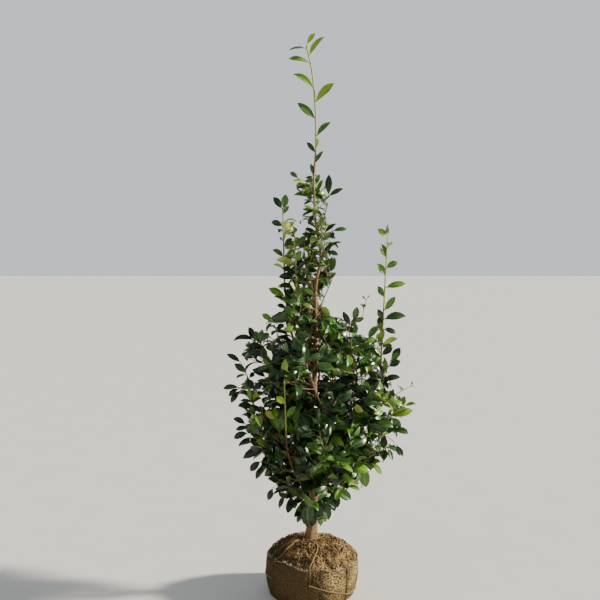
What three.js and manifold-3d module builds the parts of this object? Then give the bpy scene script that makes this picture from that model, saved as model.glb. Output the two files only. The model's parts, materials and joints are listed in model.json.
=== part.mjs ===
import * as THREE from "three";
import { mergeVertices } from "three/addons/utils/BufferGeometryUtils.js";
import Module from "manifold-3d";

const wasm = await Module();
wasm.setup();

// Frame
// Millimetres, Z up. The origin is the middle of the root ball's flat underside.
// The front of the plant faces -Y, and +X is on the viewer's right.
const UP = new THREE.Vector3(0, 0, 1);
const CLEARANCE = 0.3; // between two solids that touch
const GRID = 1024; // points are set on a grid of 1/1024 mm
const FINEST = 0.003; // least height of a face, and distance of two corners, that a join may leave

// Root ball: a lump of soil in a burlap wrap, laced with twine
const BALL_FOOT_RADIUS = 127;
const BALL_BELLY_RADIUS = 140;
const BALL_BELLY_HEIGHT = 66;
const BALL_RIM_RADIUS = 137;
const BALL_RIM_HEIGHT = 106;
const BALL_SEGMENTS = 24;
const BURLAP_THICKNESS = 3;
const BURLAP_HEM_WAVE = 4;
const BURLAP_FOLD = 1.6;
const SOIL_TOP_HEIGHT = 160; // where the trunk stands
const SOIL_SEAT_RADIUS = 27;
const SOIL_LUMP = 3.5;
const DOME_POWER = 2.2; // how full the dome's shoulders are
const TWINE_RADIUS = 1.8;
const TWINE_LIFT = 1.5; // over the lumps, the folds and the hem
const TWINE_FOOT = 6;
const TWINE_SIDES = 4;
const TWINE_STEPS = 10;
const TWINE_DOME_RADII = [30, 58, 88, 112];
const TWINE_BEARINGS = { front: -93, right: -42, left: -146, back_right: 28, back: 88, back_left: 152 };
// How far each strand turns aside at the trunk
const TWINE_SLANTS = { front: 26, right: 8, left: 8, back_right: 14, back: -18, back_left: 10 };
const BALL_LEVELS = [0, 0.14, 0.38, 0.66, 0.86, 1]; // of the hem's height
const DOME_LEVELS = [0.95, 0.84, 0.7, 0.56, 0.42, 0.3]; // of the hem's radius

// Trunk: height, lean to the right and lean to the back, from the flat cut at the soil up to the leader's tip
const TRUNK_LINE = [
  [160.3, 0, 0],
  [180, 0, 0],
  [240, 5, 1],
  [420, 8, 3],
  [630, 9, 2],
  [800, 12, -2],
  [920, 12, -3],
  [1012, 27, 0],
  [1110, 12, 4],
  [1190, 7, 3],
];
const TRUNK_FOOT_RADIUS = 16;
const TRUNK_MIDDLE_RADIUS = 7.6;
const TRUNK_TOP_RADIUS = 3;
const TRUNK_MIDDLE = 0.45; // of its height
const FLARE_RADIUS = 6;
const FLARE_REACH = 0.03; // of its height
const FLARE_LOBES = 4;
const TRUNK_SIDES = 8;
const TRUNK_STEPS = 16;

// Leader: the bare young shoot over the trunk
const LEADER_FOOT_RADIUS = 2.8;
const LEADER_TIP_RADIUS = 1.3;
const LEADER_SIDES = 5;
const LEADER_STEPS = 10;
const LEADER_LINE = [
  [1190.3, 7, 3],
  [1245, 6, 2],
  [1331, 12, 0],
  [1444, 11, 0],
  [1556, 1, -1],
  [1635, -16, -2],
];
// height, side, length and angle off the shoot of each leaf on the leader
const LEADER_LEAVES = [
  [1222, 1, 52, 60],
  [1245, -1, 46, 38],
  [1287, 1, 48, 42],
  [1318, -1, 46, 58],
  [1366, 1, 66, 48],
  [1420, -1, 68, 50],
  [1466, 1, 82, 52],
  [1510, -1, 70, 56],
  [1583, -1, 62, 84],
  [1605, 1, 70, 42],
  [1626, -1, 54, 88],
  [1634, 1, 46, 50],
];

// Crown: reach from its axis at each height
const CROWN_AXIS = [16, 4];
const CROWN_REACH = [
  [190, 25],
  [230, 66],
  [260, 100],
  [305, 135],
  [340, 170],
  [380, 205],
  [430, 244],
  [520, 274],
  [600, 296],
  [650, 292],
  [715, 268],
  [785, 214],
  [835, 162],
  [875, 118],
  [920, 92],
  [1000, 98],
  [1150, 100],
  [1200, 88],
  [1260, 60],
];
const CROWN_FRINGE = 14; // how far a leaf's tip may stand out

// Boughs of the crown, from the lowest to the highest, turned by the golden angle
const GOLDEN_ANGLE = THREE.MathUtils.degToRad(137.5);
const BOUGH_COUNT = 13;
const BOUGH_FIRST_BEARING = 0.3;
const BOUGH_LOWEST = 222;
const BOUGH_HIGHEST = 588;
const BOUGH_SHARE = 0.5; // of the crown's reach
const BOUGH_SLOPE_LOW = 0.8;
const BOUGH_SLOPE_HIGH = 1.2;
const BOUGH_USUAL_REACH = 110;
const STEM_RISE_LOW = 70;
const STEM_RISE_HIGH = 130;
const LEAF_ROOM = 44;
const BOUGH_FOOT_RADIUS = 5.2;
const BOUGH_TIP_RADIUS = 2.4;
const BOUGH_SIDES = 4;
const BOUGH_STEPS = 3;

// Limbs that end in a tall shoot: foot height on the trunk, tip, tip of the shoot
const TALL_LIMBS = [
  { name: "right", foot: 480, tip: [204, -40, 690], top: [224, -44, 1104], radius: 4.6 },
  { name: "second", foot: 668, tip: [-42, -14, 838], top: [-53, -20, 1094], radius: 4.4 },
  { name: "left", foot: 590, tip: [-82, 14, 950], top: [-87, 12, 1152], radius: 4 },
  { name: "front", foot: 292, tip: [-74, -118, 494], top: [-80, -126, 700], radius: 4.6 },
];

// One more bough, low on the right
const LOW_BOUGH = { foot: 312, tip: [128, -46, 392], top: [214, -66, 468], radius: 4.6 };

// Masses that stand on the trunk: height, bearing in degrees, length and slope of the stem
const TRUNK_MASSES = [
  { name: "foot_front", height: 214, bearing: -60, length: 70, slope: 0.25, low: true },
  { name: "foot_back", height: 232, bearing: 95, length: 74, slope: 0.3, low: true },
  { name: "foot_left", height: 262, bearing: 185, length: 90, slope: 0.3, low: true },
  { name: "inner_front", height: 330, bearing: -115, length: 120, slope: 0.6 },
  { name: "inner_right", height: 380, bearing: 28, length: 120, slope: 0.7 },
  { name: "inner_back", height: 430, bearing: 67, length: 130, slope: 0.8 },
  { name: "inner_left", height: 480, bearing: 190, length: 130, slope: 1 },
  { name: "upper_front", height: 640, bearing: -98, length: 150, slope: 1.3 },
  { name: "upper_right", height: 700, bearing: -17, length: 130, slope: 1.4 },
  { name: "upper_back", height: 740, bearing: 130, length: 120, slope: 1.4 },
  { name: "column_right", height: 835, bearing: 20, length: 110, slope: 1.8 },
  { name: "column_left", height: 892, bearing: 146, length: 96, slope: 1.8 },
  { name: "column_front", height: 965, bearing: -63, length: 110, slope: 2 },
  { name: "column_top", height: 1066, bearing: 52, length: 110, slope: 2 },
];

// Growth rule
const INTERNODE = 30;
const BARE_LENGTH = 26; // of a stem that stands on the trunk
const TWIG_TAPER = 0.45; // of the length lost by the twigs at the tip of a stem
const TWIG_ANGLE = THREE.MathUtils.degToRad(50);
const TWIG_TURN = THREE.MathUtils.degToRad(112);
const TWIG_RADIUS = 1.3;
const TWIG_SIDES = 3;
const STEM_TIP_RADIUS = 1.7;
const STEM_SIDES = 4;
const TWIG_STEPS = 1;
const TWIG_LIFT = 0.12;
// A bushy shoot has long side twigs, a low one short twigs, and a tall one is a bare young stem with few
const BUSHY = { steps: 3, lift: 0.1, twigSpacing: 36, twigLength: 118, leafLength: 88 };
const LOW = { steps: 3, lift: 0.1, twigSpacing: 30, twigLength: 56, leafLength: 64 };
const TALL = { steps: 5, lift: 0, twigSpacing: 90, twigLength: 42, leafLength: 62, tall: true };
const LEAF_LENGTH_SPREAD = 0.24;
const LEAF_WIDTH = 0.46; // of its length
const LEAF_THICKNESS = 1.6;
const LEAF_MIDDLE = 0.5;
const LEAF_SUNK = 0.4; // past the twig's middle
const LEAF_FOLD = 0.07; // of its length, how far the margins stand over the midrib
const LEAF_DROOP = 0.06;
const LEAF_ANGLE = THREE.MathUtils.degToRad(52);
const LEAF_FACING = new THREE.Vector3(0.2, -0.42, 0.88);
const LIGHT = new THREE.Vector3(0.15, -0.25, 0.85);
const CROWN_WIDTH = 300; // over which the leaves' facing turns outward
const LEAF_SCATTER = 0.75;
const LEAF_JITTER = 0.22;
const LEAF_TRIES = 8;
const LEAF_SHRINK = 0.04; // at each try
const GUARD_START = 0.2; // of a leaf or twig, left free round its root
const GUARD_MARGIN = 0.9;
const SPACE_ACROSS = 150;
const SPACE_ALONG = 96;

// Finish
const COLOURS = {
  bark: { color: 0x8a7358, roughness: 0.85 },
  leaf: { color: 0x24421f, roughness: 0.35 },
  young_leaf: { color: 0x86a336, roughness: 0.4 },
  soil: { color: 0x6b5640, roughness: 1 },
  burlap: { color: 0x8d7048, roughness: 1 },
  twine: { color: 0xb5925c, roughness: 0.95 },
};

// A number from 0 to 1 that depends on nothing but its keys
function chance(...keys) {
  let hash = 0x9e3779b9;
  for (const key of keys) {
    hash = Math.imul(hash ^ key, 0x85ebca6b);
    hash ^= hash >>> 13;
    hash = Math.imul(hash, 0xc2b2ae35);
    hash ^= hash >>> 16;
  }
  return (hash >>> 0) / 4294967296;
}

function swing(...keys) {
  return 2 * chance(...keys) - 1;
}

function scatterOf(keys, first) {
  return new THREE.Vector3(swing(...keys, first), swing(...keys, first + 1), swing(...keys, first + 2));
}

function snap(point) {
  return point.multiplyScalar(GRID).round().divideScalar(GRID);
}

// Value of a table of [key, value] rows at a key between them
function tableAt(table, key) {
  const last = table.length - 1;
  if (key <= table[0][0]) return table[0][1];
  if (key >= table[last][0]) return table[last][1];
  const row = table.findIndex(([next]) => next > key);
  const [below, above] = [table[row - 1], table[row]];
  return THREE.MathUtils.mapLinear(key, below[0], above[0], below[1], above[1]);
}

// Bends each vertex of a geometry by a function, and makes a solid of it
function solidFrom(geometry, place) {
  const position = geometry.attributes.position;
  const point = new THREE.Vector3();
  for (let i = 0; i < position.count; i++) {
    point.fromBufferAttribute(position, i);
    const placed = snap(place(point));
    position.setXYZ(i, placed.x, placed.y, placed.z);
  }
  geometry.deleteAttribute("normal");
  geometry.deleteAttribute("uv");
  const merged = mergeVertices(geometry, 0.5 / GRID);
  const faces = [];
  for (let i = 0; i < merged.index.count; i += 3) {
    const corners = [0, 1, 2].map((k) => merged.index.getX(i + k));
    if (new Set(corners).size === 3) faces.push(...corners);
  }
  const mesh = new wasm.Mesh({
    numProp: 3,
    vertProperties: new Float32Array(merged.attributes.position.array),
    triVerts: new Uint32Array(faces),
  });
  return new wasm.Manifold(mesh);
}

function geometryFrom(solid) {
  const { vertProperties, triVerts } = solid.getMesh();
  const geometry = new THREE.BufferGeometry();
  geometry.setAttribute("position", new THREE.BufferAttribute(vertProperties, 3));
  geometry.setIndex(new THREE.BufferAttribute(triVerts, 1));
  geometry.computeVertexNormals();
  return geometry;
}

// Whether no face of a solid is a sliver and no two of its corners nearly meet
function isClean(solid) {
  const { vertProperties, triVerts } = solid.getMesh();
  const corners = [];
  for (let i = 0; i < vertProperties.length; i += 3) {
    corners.push(new THREE.Vector3().fromArray(vertProperties, i));
  }
  for (let i = 0; i < triVerts.length; i += 3) {
    const [a, b, c] = [0, 1, 2].map((k) => corners[triVerts[i + k]]);
    const longest = Math.max(a.distanceTo(b), b.distanceTo(c), c.distanceTo(a));
    const doubleArea = b.clone().sub(a).cross(c.clone().sub(a)).length();
    if (doubleArea < FINEST * longest) return false;
  }
  corners.sort((a, b) => a.x - b.x);
  for (let i = 0; i < corners.length; i++) {
    for (let j = i + 1; j < corners.length && corners[j].x - corners[i].x < FINEST; j++) {
      if (corners[i].distanceTo(corners[j]) < FINEST) return false;
    }
  }
  return true;
}

// A limb is a lathed column, flat at both ends, that is laid along a curve
function limbSolid(curve, radiusAt, sides, steps) {
  const profile = [new THREE.Vector2(0, 0)];
  for (let i = 0; i <= steps; i++) profile.push(new THREE.Vector2(1, i));
  profile.push(new THREE.Vector2(0, steps));
  const column = new THREE.LatheGeometry(profile, sides);
  const frames = curve.computeFrenetFrames(steps, false);
  return solidFrom(column, (point) => {
    const step = Math.round(point.y);
    const along = step / steps;
    const radius = radiusAt(along, Math.atan2(point.x, point.z));
    return curve
      .getPointAt(along)
      .addScaledVector(frames.binormals[step], point.x * radius)
      .addScaledVector(frames.normals[step], point.z * radius);
  });
}

function taper(foot, tip) {
  return (along) => THREE.MathUtils.lerp(foot, tip, along);
}

function lineCurve(rows) {
  const points = rows.map(([height, x, y]) => new THREE.Vector3(x, y, height));
  return new THREE.CatmullRomCurve3(points, false, "catmullrom", 0.5);
}

// Root ball

// Height over the smooth surface, from a few crossing waves
function lump(x, y) {
  const coarse = Math.sin(x / 17 + 1.3 * Math.sin(y / 23)) * Math.cos(y / 19 - x / 41);
  const fine = Math.sin(x / 7.3 + 2.1) * Math.sin(y / 8.1 + x / 30);
  return SOIL_LUMP * (0.7 * coarse + 0.3 * fine);
}

function burlapFold(bearing) {
  return BURLAP_FOLD * (Math.sin(5 * bearing + 0.7) + 0.6 * Math.sin(11 * bearing + 2));
}

function hemHeight(bearing) {
  return BALL_RIM_HEIGHT + BURLAP_HEM_WAVE * (Math.sin(3 * bearing + 0.4) + 0.7 * Math.sin(8 * bearing));
}

// Smooth outer radius of the wrapped ball
function ballRadius(height) {
  const below = height < BALL_BELLY_HEIGHT;
  const end = below ? BALL_FOOT_RADIUS : BALL_RIM_RADIUS;
  const span = below ? BALL_BELLY_HEIGHT : BALL_RIM_HEIGHT - BALL_BELLY_HEIGHT;
  const away = (height - BALL_BELLY_HEIGHT) / span;
  return BALL_BELLY_RADIUS + (end - BALL_BELLY_RADIUS) * away * away;
}

// The soil's surface: flat under the trunk, lumpy round it, down to the hem
function domeHeight(radius, bearing) {
  if (radius <= SOIL_SEAT_RADIUS) return SOIL_TOP_HEIGHT;
  const out = (radius - SOIL_SEAT_RADIUS) / (BALL_RIM_RADIUS - SOIL_SEAT_RADIUS);
  const edge = hemHeight(bearing) - BURLAP_HEM_WAVE;
  const smooth = THREE.MathUtils.lerp(SOIL_TOP_HEIGHT, edge, Math.pow(out, DOME_POWER));
  const rough = Math.sin(Math.PI * Math.min(1, out * 1.02)) ** 0.5;
  return smooth + rough * lump(radius * Math.cos(bearing), radius * Math.sin(bearing));
}

function polar(radius, bearing, height) {
  return new THREE.Vector3(radius * Math.cos(bearing), radius * Math.sin(bearing), height);
}

// A lathed blank whose rows are numbers, to be placed row by row
function rowBlank(rows, segments) {
  const profile = [new THREE.Vector2(0, 0)];
  for (let row = 1; row < rows; row++) profile.push(new THREE.Vector2(1, row));
  profile.push(new THREE.Vector2(0, rows));
  return new THREE.LatheGeometry(profile, segments);
}

function rowBearing(point) {
  const turn = Math.round((Math.atan2(point.x, point.z) / (2 * Math.PI)) * BALL_SEGMENTS);
  return (turn / BALL_SEGMENTS) * 2 * Math.PI;
}

// Inside, the wrap is smooth, so that the soil lies evenly against it
function wrapInside(level, bearing) {
  const height = level < 1 ? level * BALL_RIM_HEIGHT : hemHeight(bearing);
  return [ballRadius(height) - BURLAP_THICKNESS - BURLAP_FOLD, bearing, Math.max(BURLAP_THICKNESS, height)];
}

function wrapOutside(level, bearing) {
  const height = level * hemHeight(bearing);
  return [ballRadius(height) + burlapFold(bearing) * Math.min(1, level * 4), bearing, height];
}

function soilSolid(grown = 0) {
  const walls = BALL_LEVELS.length - 1;
  const rows = walls + DOME_LEVELS.length + 2;
  return solidFrom(rowBlank(rows, BALL_SEGMENTS), (point) => {
    const row = Math.round(point.y);
    const bearing = rowBearing(point);
    if (row === 0) return polar(0, 0, BURLAP_THICKNESS + CLEARANCE);
    if (row === rows) return polar(0, 0, SOIL_TOP_HEIGHT);
    if (row === rows - 1) return polar(SOIL_SEAT_RADIUS, bearing, SOIL_TOP_HEIGHT);
    if (row <= walls) {
      const [radius, turn, height] = wrapInside(BALL_LEVELS[row - 1], bearing);
      return polar(radius - CLEARANCE, turn, Math.max(height, BURLAP_THICKNESS + CLEARANCE));
    }
    const radius = BALL_RIM_RADIUS * DOME_LEVELS[row - walls - 1];
    return polar(radius, bearing, domeHeight(radius, bearing) + grown);
  });
}

function burlapSolid(grown = 0) {
  const walls = BALL_LEVELS.length;
  const rows = 2 * walls + 1;
  return solidFrom(rowBlank(rows, BALL_SEGMENTS), (point) => {
    const row = Math.round(point.y);
    const bearing = rowBearing(point);
    if (row === 0) return polar(0, 0, 0);
    if (row === rows) return polar(0, 0, BURLAP_THICKNESS);
    if (row > walls) return polar(...wrapInside(BALL_LEVELS[rows - 1 - row], bearing));
    const [radius, turn, height] = wrapOutside(BALL_LEVELS[row - 1], bearing);
    return polar(radius + grown, turn, height + (row === walls ? grown : 0));
  });
}

// Twine runs down the dome, over the hem and down the wrap
function twineCurve(bearing, slant) {
  const over = TWINE_RADIUS + TWINE_LIFT;
  const hem = hemHeight(bearing);
  const [inmost, outmost] = [TWINE_DOME_RADII[0], BALL_RIM_RADIUS];
  const onDome = (radius) => {
    const turn = bearing + (slant * (outmost - radius)) / (outmost - inmost);
    return polar(radius, turn, domeHeight(radius, turn) + over);
  };
  const onWrap = (height) => polar(ballRadius(height) + burlapFold(bearing) + over, bearing, height);
  const brink = Math.max(hem, domeHeight(BALL_RIM_RADIUS - 8, bearing));
  const edge = polar(BALL_RIM_RADIUS - 6, bearing, brink + over);
  const dome = TWINE_DOME_RADII.map(onDome);
  const wrap = [hem - 3, 0.8 * hem, 0.6 * hem, 0.36 * hem, TWINE_FOOT].map(onWrap);
  return new THREE.CatmullRomCurve3([...dome, edge, ...wrap], false, "catmullrom", 0.5);
}

// Trunk and limbs
const trunkCurve = lineCurve(TRUNK_LINE);

function trunkRadius(along, angle = Math.PI / (2 * FLARE_LOBES)) {
  const wood =
    along < TRUNK_MIDDLE
      ? THREE.MathUtils.mapLinear(along, 0, TRUNK_MIDDLE, TRUNK_FOOT_RADIUS, TRUNK_MIDDLE_RADIUS)
      : THREE.MathUtils.mapLinear(along, TRUNK_MIDDLE, 1, TRUNK_MIDDLE_RADIUS, TRUNK_TOP_RADIUS);
  const flare = FLARE_RADIUS * Math.exp(-along / FLARE_REACH);
  return wood + flare * (0.6 + 0.4 * Math.cos(FLARE_LOBES * angle));
}

// How far along a rising curve a height lies, by halving
function alongAtHeight(curve, height) {
  let [low, high] = [0, 1];
  for (let i = 0; i < 24; i++) {
    const middle = (low + high) / 2;
    if (curve.getPointAt(middle).z < height) low = middle;
    else high = middle;
  }
  return low;
}

function trunkPoint(height) {
  return trunkCurve.getPointAt(alongAtHeight(trunkCurve, height));
}

function bearingVector(bearing) {
  return new THREE.Vector3(Math.cos(bearing), Math.sin(bearing), 0);
}

// A limb leaves the trunk, bends up, and its tip points along the shoot that goes on from it
function limbPlan(name, mass, foot, tip, shootEnd, radius, habit) {
  const start = trunkPoint(foot);
  const length = tip.distanceTo(shootEnd);
  const direction = shootEnd.clone().sub(tip).normalize();
  const middle = tip.clone().addScaledVector(direction, -0.5 * start.distanceTo(tip));
  const curve = new THREE.QuadraticBezierCurve3(start, middle, tip);
  return { name, mass, curve, radius, stem: { ...habit, start: tip, direction, length } };
}

function crownPoint(bearing, reach, height) {
  return new THREE.Vector3(...CROWN_AXIS, height).addScaledVector(bearingVector(bearing), reach);
}

function boughPlans() {
  const plans = [];
  for (let i = 0; i < BOUGH_COUNT; i++) {
    const rise = i / (BOUGH_COUNT - 1);
    const foot = THREE.MathUtils.lerp(BOUGH_LOWEST, BOUGH_HIGHEST, rise);
    const bearing = BOUGH_FIRST_BEARING + i * GOLDEN_ANGLE + 0.25 * swing(11, i);
    const slope = THREE.MathUtils.lerp(BOUGH_SLOPE_LOW, BOUGH_SLOPE_HIGH, rise);
    const crownReach = tableAt(CROWN_REACH, foot + slope * BOUGH_USUAL_REACH);
    const reach = BOUGH_SHARE * crownReach * (1 + 0.15 * swing(12, i));
    const tipHeight = foot + slope * reach;
    const endHeight = tipHeight + THREE.MathUtils.lerp(STEM_RISE_LOW, STEM_RISE_HIGH, rise);
    const endReach = tableAt(CROWN_REACH, endHeight) - LEAF_ROOM;
    const tip = crownPoint(bearing, reach, tipHeight);
    const shootEnd = crownPoint(bearing + 0.3 * swing(13, i), endReach, endHeight);
    const number = String(i + 1).padStart(2, "0");
    const radius = THREE.MathUtils.lerp(BOUGH_FOOT_RADIUS, 0.8 * BOUGH_FOOT_RADIUS, rise);
    plans.push(limbPlan(`bough_${number}`, `foliage_${number}`, foot, tip, shootEnd, radius, BUSHY));
  }
  return plans;
}

function tallLimbPlans() {
  return TALL_LIMBS.map(({ name, foot, tip, top, radius }) => {
    const ends = [tip, top].map((point) => new THREE.Vector3(...point));
    return limbPlan(`limb_${name}`, `shoot_${name}`, foot, ...ends, radius, TALL);
  });
}

function lowBoughPlan() {
  const { foot, tip, top, radius } = LOW_BOUGH;
  const ends = [tip, top].map((point) => new THREE.Vector3(...point));
  return limbPlan("bough_low", "foliage_low", foot, ...ends, radius, BUSHY);
}

// Foliage

// A shoot sets out along its direction and is lifted towards its tip
function shootCurve({ start, direction, length, lift }) {
  const end = start.clone().addScaledVector(direction, length).addScaledVector(UP, lift * length);
  const middle = start.clone().addScaledVector(direction, length / 2);
  return new THREE.QuadraticBezierCurve3(start, middle, end);
}

// Point and tangent on the straight pieces that a limb's solid follows
function chordAt(curve, along, steps) {
  const step = Math.min(steps - 1, Math.floor(along * steps));
  const [from, to] = [step, step + 1].map((i) => curve.getPointAt(i / steps));
  const point = from.clone().lerp(to, along * steps - step);
  return { point, tangent: to.sub(from).normalize() };
}

// The way the leaves' two ranks spread from a shoot
function spreadOf(tangent, seed) {
  const facing = LEAF_FACING.clone();
  facing.x += 0.5 * swing(seed, 21);
  facing.y += 0.5 * swing(seed, 22);
  const spread = new THREE.Vector3().crossVectors(tangent, facing);
  return spread.normalize();
}

// A direction turned off a tangent towards a side
function turned(tangent, side, angle) {
  return tangent.clone().multiplyScalar(Math.cos(angle)).addScaledVector(side, Math.sin(angle));
}

// Side twigs of a stem, alternate and turned round it
function twigsOf(stem, seed) {
  const curve = shootCurve(stem);
  const count = Math.max(1, Math.round(stem.length / stem.twigSpacing));
  const twigs = [];
  for (let k = 0; k < count; k++) {
    const along = (k + 0.55 + 0.3 * swing(seed, k, 1)) / count;
    const { point, tangent } = chordAt(curve, along, stem.steps);
    const side = spreadOf(tangent, seed).applyAxisAngle(tangent, k * TWIG_TURN + 0.5 * swing(seed, k, 2));
    const angle = TWIG_ANGLE * (1 + 0.2 * swing(seed, k, 3));
    twigs.push({
      start: point,
      direction: turned(tangent, side, angle),
      length: stem.twigLength * (1 - TWIG_TAPER * along) * (1 + 0.3 * swing(seed, k, 4)),
      lift: TWIG_LIFT,
      steps: TWIG_STEPS,
      leafLength: stem.leafLength,
      key: k + 1,
    });
  }
  return twigs;
}

// Leaves of a shoot, in two ranks, with one at its tip
function leavesOf(shoot, seed, attempt) {
  const curve = shootCurve(shoot);
  const first = shoot.bareLength ?? 0;
  const count = Math.max(1, Math.round((shoot.length - first) / INTERNODE));
  const leaves = [];
  for (let k = 0; k <= count; k++) {
    const atTip = k === count;
    const along = atTip ? 1 : (first + ((k + 0.5) / count) * (shoot.length - first)) / shoot.length;
    const keys = [seed, shoot.key, k, attempt];
    const { point, tangent } = chordAt(curve, atTip ? 1 - 1 / shoot.length : along, shoot.steps);
    const side = spreadOf(tangent, seed + shoot.key);
    const rank = k % 2 === 0 ? 1 : -1;
    const angle = (atTip ? 0.25 : 1) * LEAF_ANGLE * (1 + 0.3 * swing(...keys, 1));
    const axis = turned(tangent, side, rank * angle).addScaledVector(scatterOf(keys, 2), LEAF_JITTER);
    leaves.push({
      root: point,
      axis: axis.normalize(),
      facing: facingOf(point, keys),
      length: shoot.leafLength * (1 + LEAF_LENGTH_SPREAD * swing(...keys, 5)) * (1 - LEAF_SHRINK * attempt),
    });
  }
  return leaves;
}

// A leaf turns its upper side to the light: up, to the sun and out of the crown
function facingOf(point, keys) {
  const outward = point.clone().sub(crownPoint(0, 0, point.z)).divideScalar(CROWN_WIDTH);
  return LIGHT.clone().add(outward).addScaledVector(scatterOf(keys, 6), LEAF_SCATTER).normalize();
}

// A leaf is an eight-faced blade, folded along its midrib and drooping to its tip
function leafSolid(leaf, start = 0, margin = 0) {
  const blade = new THREE.OctahedronGeometry(1);
  const normal = leaf.facing.clone().addScaledVector(leaf.axis, -leaf.facing.dot(leaf.axis)).normalize();
  const side = new THREE.Vector3().crossVectors(leaf.axis, normal);
  const half = (LEAF_WIDTH * leaf.length) / 2 + margin;
  const thick = LEAF_THICKNESS / 2 + margin;
  const root = start > 0 ? start * leaf.length : -LEAF_SUNK;
  return solidFrom(blade, (point) => {
    const forward = point.y > 0.5 ? leaf.length + margin : point.y < -0.5 ? root : LEAF_MIDDLE * leaf.length;
    const droop = point.y > 0.5 ? LEAF_DROOP * leaf.length : 0;
    return leaf.root
      .clone()
      .addScaledVector(leaf.axis, forward)
      .addScaledVector(side, point.x * half)
      .addScaledVector(normal, point.z * thick + Math.abs(point.x) * LEAF_FOLD * leaf.length - droop);
  });
}

function crownHolds(point) {
  const away = Math.hypot(point.x - CROWN_AXIS[0], point.y - CROWN_AXIS[1]);
  return away < CROWN_FRINGE + tableAt(CROWN_REACH, point.z);
}

// A mass keeps to an ellipsoid round its stem
function spaceHolds(stem, point) {
  const offset = point.clone().sub(shootCurve(stem).getPointAt(0.55));
  const along = offset.dot(stem.direction);
  const across = Math.sqrt(Math.max(0, offset.lengthSq() - along * along));
  return (along / (stem.length / 2 + SPACE_ALONG)) ** 2 + (across / SPACE_ACROSS) ** 2 < 1;
}

function leafTip(leaf) {
  return leaf.root.clone().addScaledVector(leaf.axis, leaf.length);
}

// What stands already: each piece with its box and the node that it belongs to
const standing = [];

function stand(solid, node) {
  standing.push({ solid, node, box: solid.boundingBox() });
}

function boxesMeet(a, b) {
  return [0, 1, 2].every((i) => a.min[i] < b.max[i] && b.min[i] < a.max[i]);
}

function meets(guard, pieces) {
  const box = guard.boundingBox();
  return pieces.some((piece) => boxesMeet(piece.box, box) && !piece.solid.intersect(guard).isEmpty());
}

// A piece of a mass stays clear of the other nodes, and beyond its root of its own node too
function isFree(node, whole, beyondRoot) {
  const own = standing.filter((piece) => piece.node === node);
  const others = standing.filter((piece) => piece.node !== node);
  return !meets(beyondRoot, own) && !meets(whole, others);
}

function shootSolid(shoot, foot, tip, sides) {
  return limbSolid(shootCurve(shoot), taper(foot, tip), sides, shoot.steps);
}

function twigGuard(twig, start) {
  const [from, to] = [start, 1].map((along) => chordAt(shootCurve(twig), along, TWIG_STEPS).point);
  const radius = TWIG_RADIUS + GUARD_MARGIN;
  return limbSolid(new THREE.LineCurve3(from, to), taper(radius, radius), TWIG_SIDES, 1);
}

function fuse(mass, solid) {
  const joined = mass.solid.add(solid);
  if (!isClean(joined)) return false;
  mass.solid = joined;
  stand(solid, mass.name);
  return true;
}

function addTwigs(mass) {
  for (const twig of twigsOf(mass.stem, mass.seed)) {
    const end = shootCurve(twig).getPointAt(1);
    if (!mass.stem.tall && (!crownHolds(end) || !spaceHolds(mass.stem, end))) continue;
    if (!isFree(mass.name, twigGuard(twig, 0), twigGuard(twig, GUARD_START))) continue;
    if (!fuse(mass, shootSolid(twig, TWIG_RADIUS, 0.8 * TWIG_RADIUS, TWIG_SIDES))) continue;
    mass.shoots.push(twig);
  }
}

function tryLeaf(mass, leaf) {
  const tip = leafTip(leaf);
  if (!mass.stem.tall && (!crownHolds(tip) || !spaceHolds(mass.stem, tip))) return false;
  const guards = [0, GUARD_START].map((start) => leafSolid(leaf, start, GUARD_MARGIN));
  if (!isFree(mass.name, ...guards)) return false;
  return fuse(mass, leafSolid(leaf));
}

function addLeaves(mass, shoot) {
  const attempts = [];
  for (let attempt = 0; attempt < LEAF_TRIES; attempt++) attempts.push(leavesOf(shoot, mass.seed, attempt));
  attempts[0].forEach((_, k) => attempts.some((leaves) => tryLeaf(mass, leaves[k])));
}

function fused(solids) {
  return solids.reduce((whole, solid) => whole.add(solid));
}

// Assembly
const group = new THREE.Group();

function addPart(name, solid, finish) {
  const material = new THREE.MeshStandardMaterial({ ...COLOURS[finish], metalness: 0 });
  const mesh = new THREE.Mesh(geometryFrom(solid), material);
  mesh.name = name;
  group.add(mesh);
}

function addRootBall() {
  addPart("soil", soilSolid(), "soil");
  addPart("burlap", burlapSolid(), "burlap");
  const ballRoom = soilSolid(CLEARANCE).add(burlapSolid(CLEARANCE));
  for (const [place, degrees] of Object.entries(TWINE_BEARINGS)) {
    const [bearing, slant] = [degrees, TWINE_SLANTS[place]].map(THREE.MathUtils.degToRad);
    const curve = twineCurve(bearing, slant);
    const strand = limbSolid(curve, taper(TWINE_RADIUS, TWINE_RADIUS), TWINE_SIDES, TWINE_STEPS);
    addPart(`twine_${place}`, strand.subtract(ballRoom), "twine");
  }
}

function addTrunk() {
  const trunk = limbSolid(trunkCurve, trunkRadius, TRUNK_SIDES, TRUNK_STEPS);
  const room = limbSolid(
    trunkCurve,
    (along, angle) => trunkRadius(along, angle) + CLEARANCE / Math.cos(Math.PI / TRUNK_SIDES),
    TRUNK_SIDES,
    TRUNK_STEPS
  );
  addPart("trunk", trunk, "bark");
  stand(trunk, "trunk");
  return room;
}

function addLimbs(plans, trunkRoom) {
  const masses = [];
  for (const plan of plans) {
    const radiusAt = taper(plan.radius, BOUGH_TIP_RADIUS);
    const limb = limbSolid(plan.curve, radiusAt, BOUGH_SIDES, BOUGH_STEPS).subtract(trunkRoom);
    addPart(plan.name, limb, "bark");
    stand(limb, plan.name);
    const start = plan.stem.start.clone().addScaledVector(plan.stem.direction, CLEARANCE);
    masses.push({ name: plan.mass, stem: { ...plan.stem, start, foot: BOUGH_TIP_RADIUS } });
  }
  return masses;
}

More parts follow.
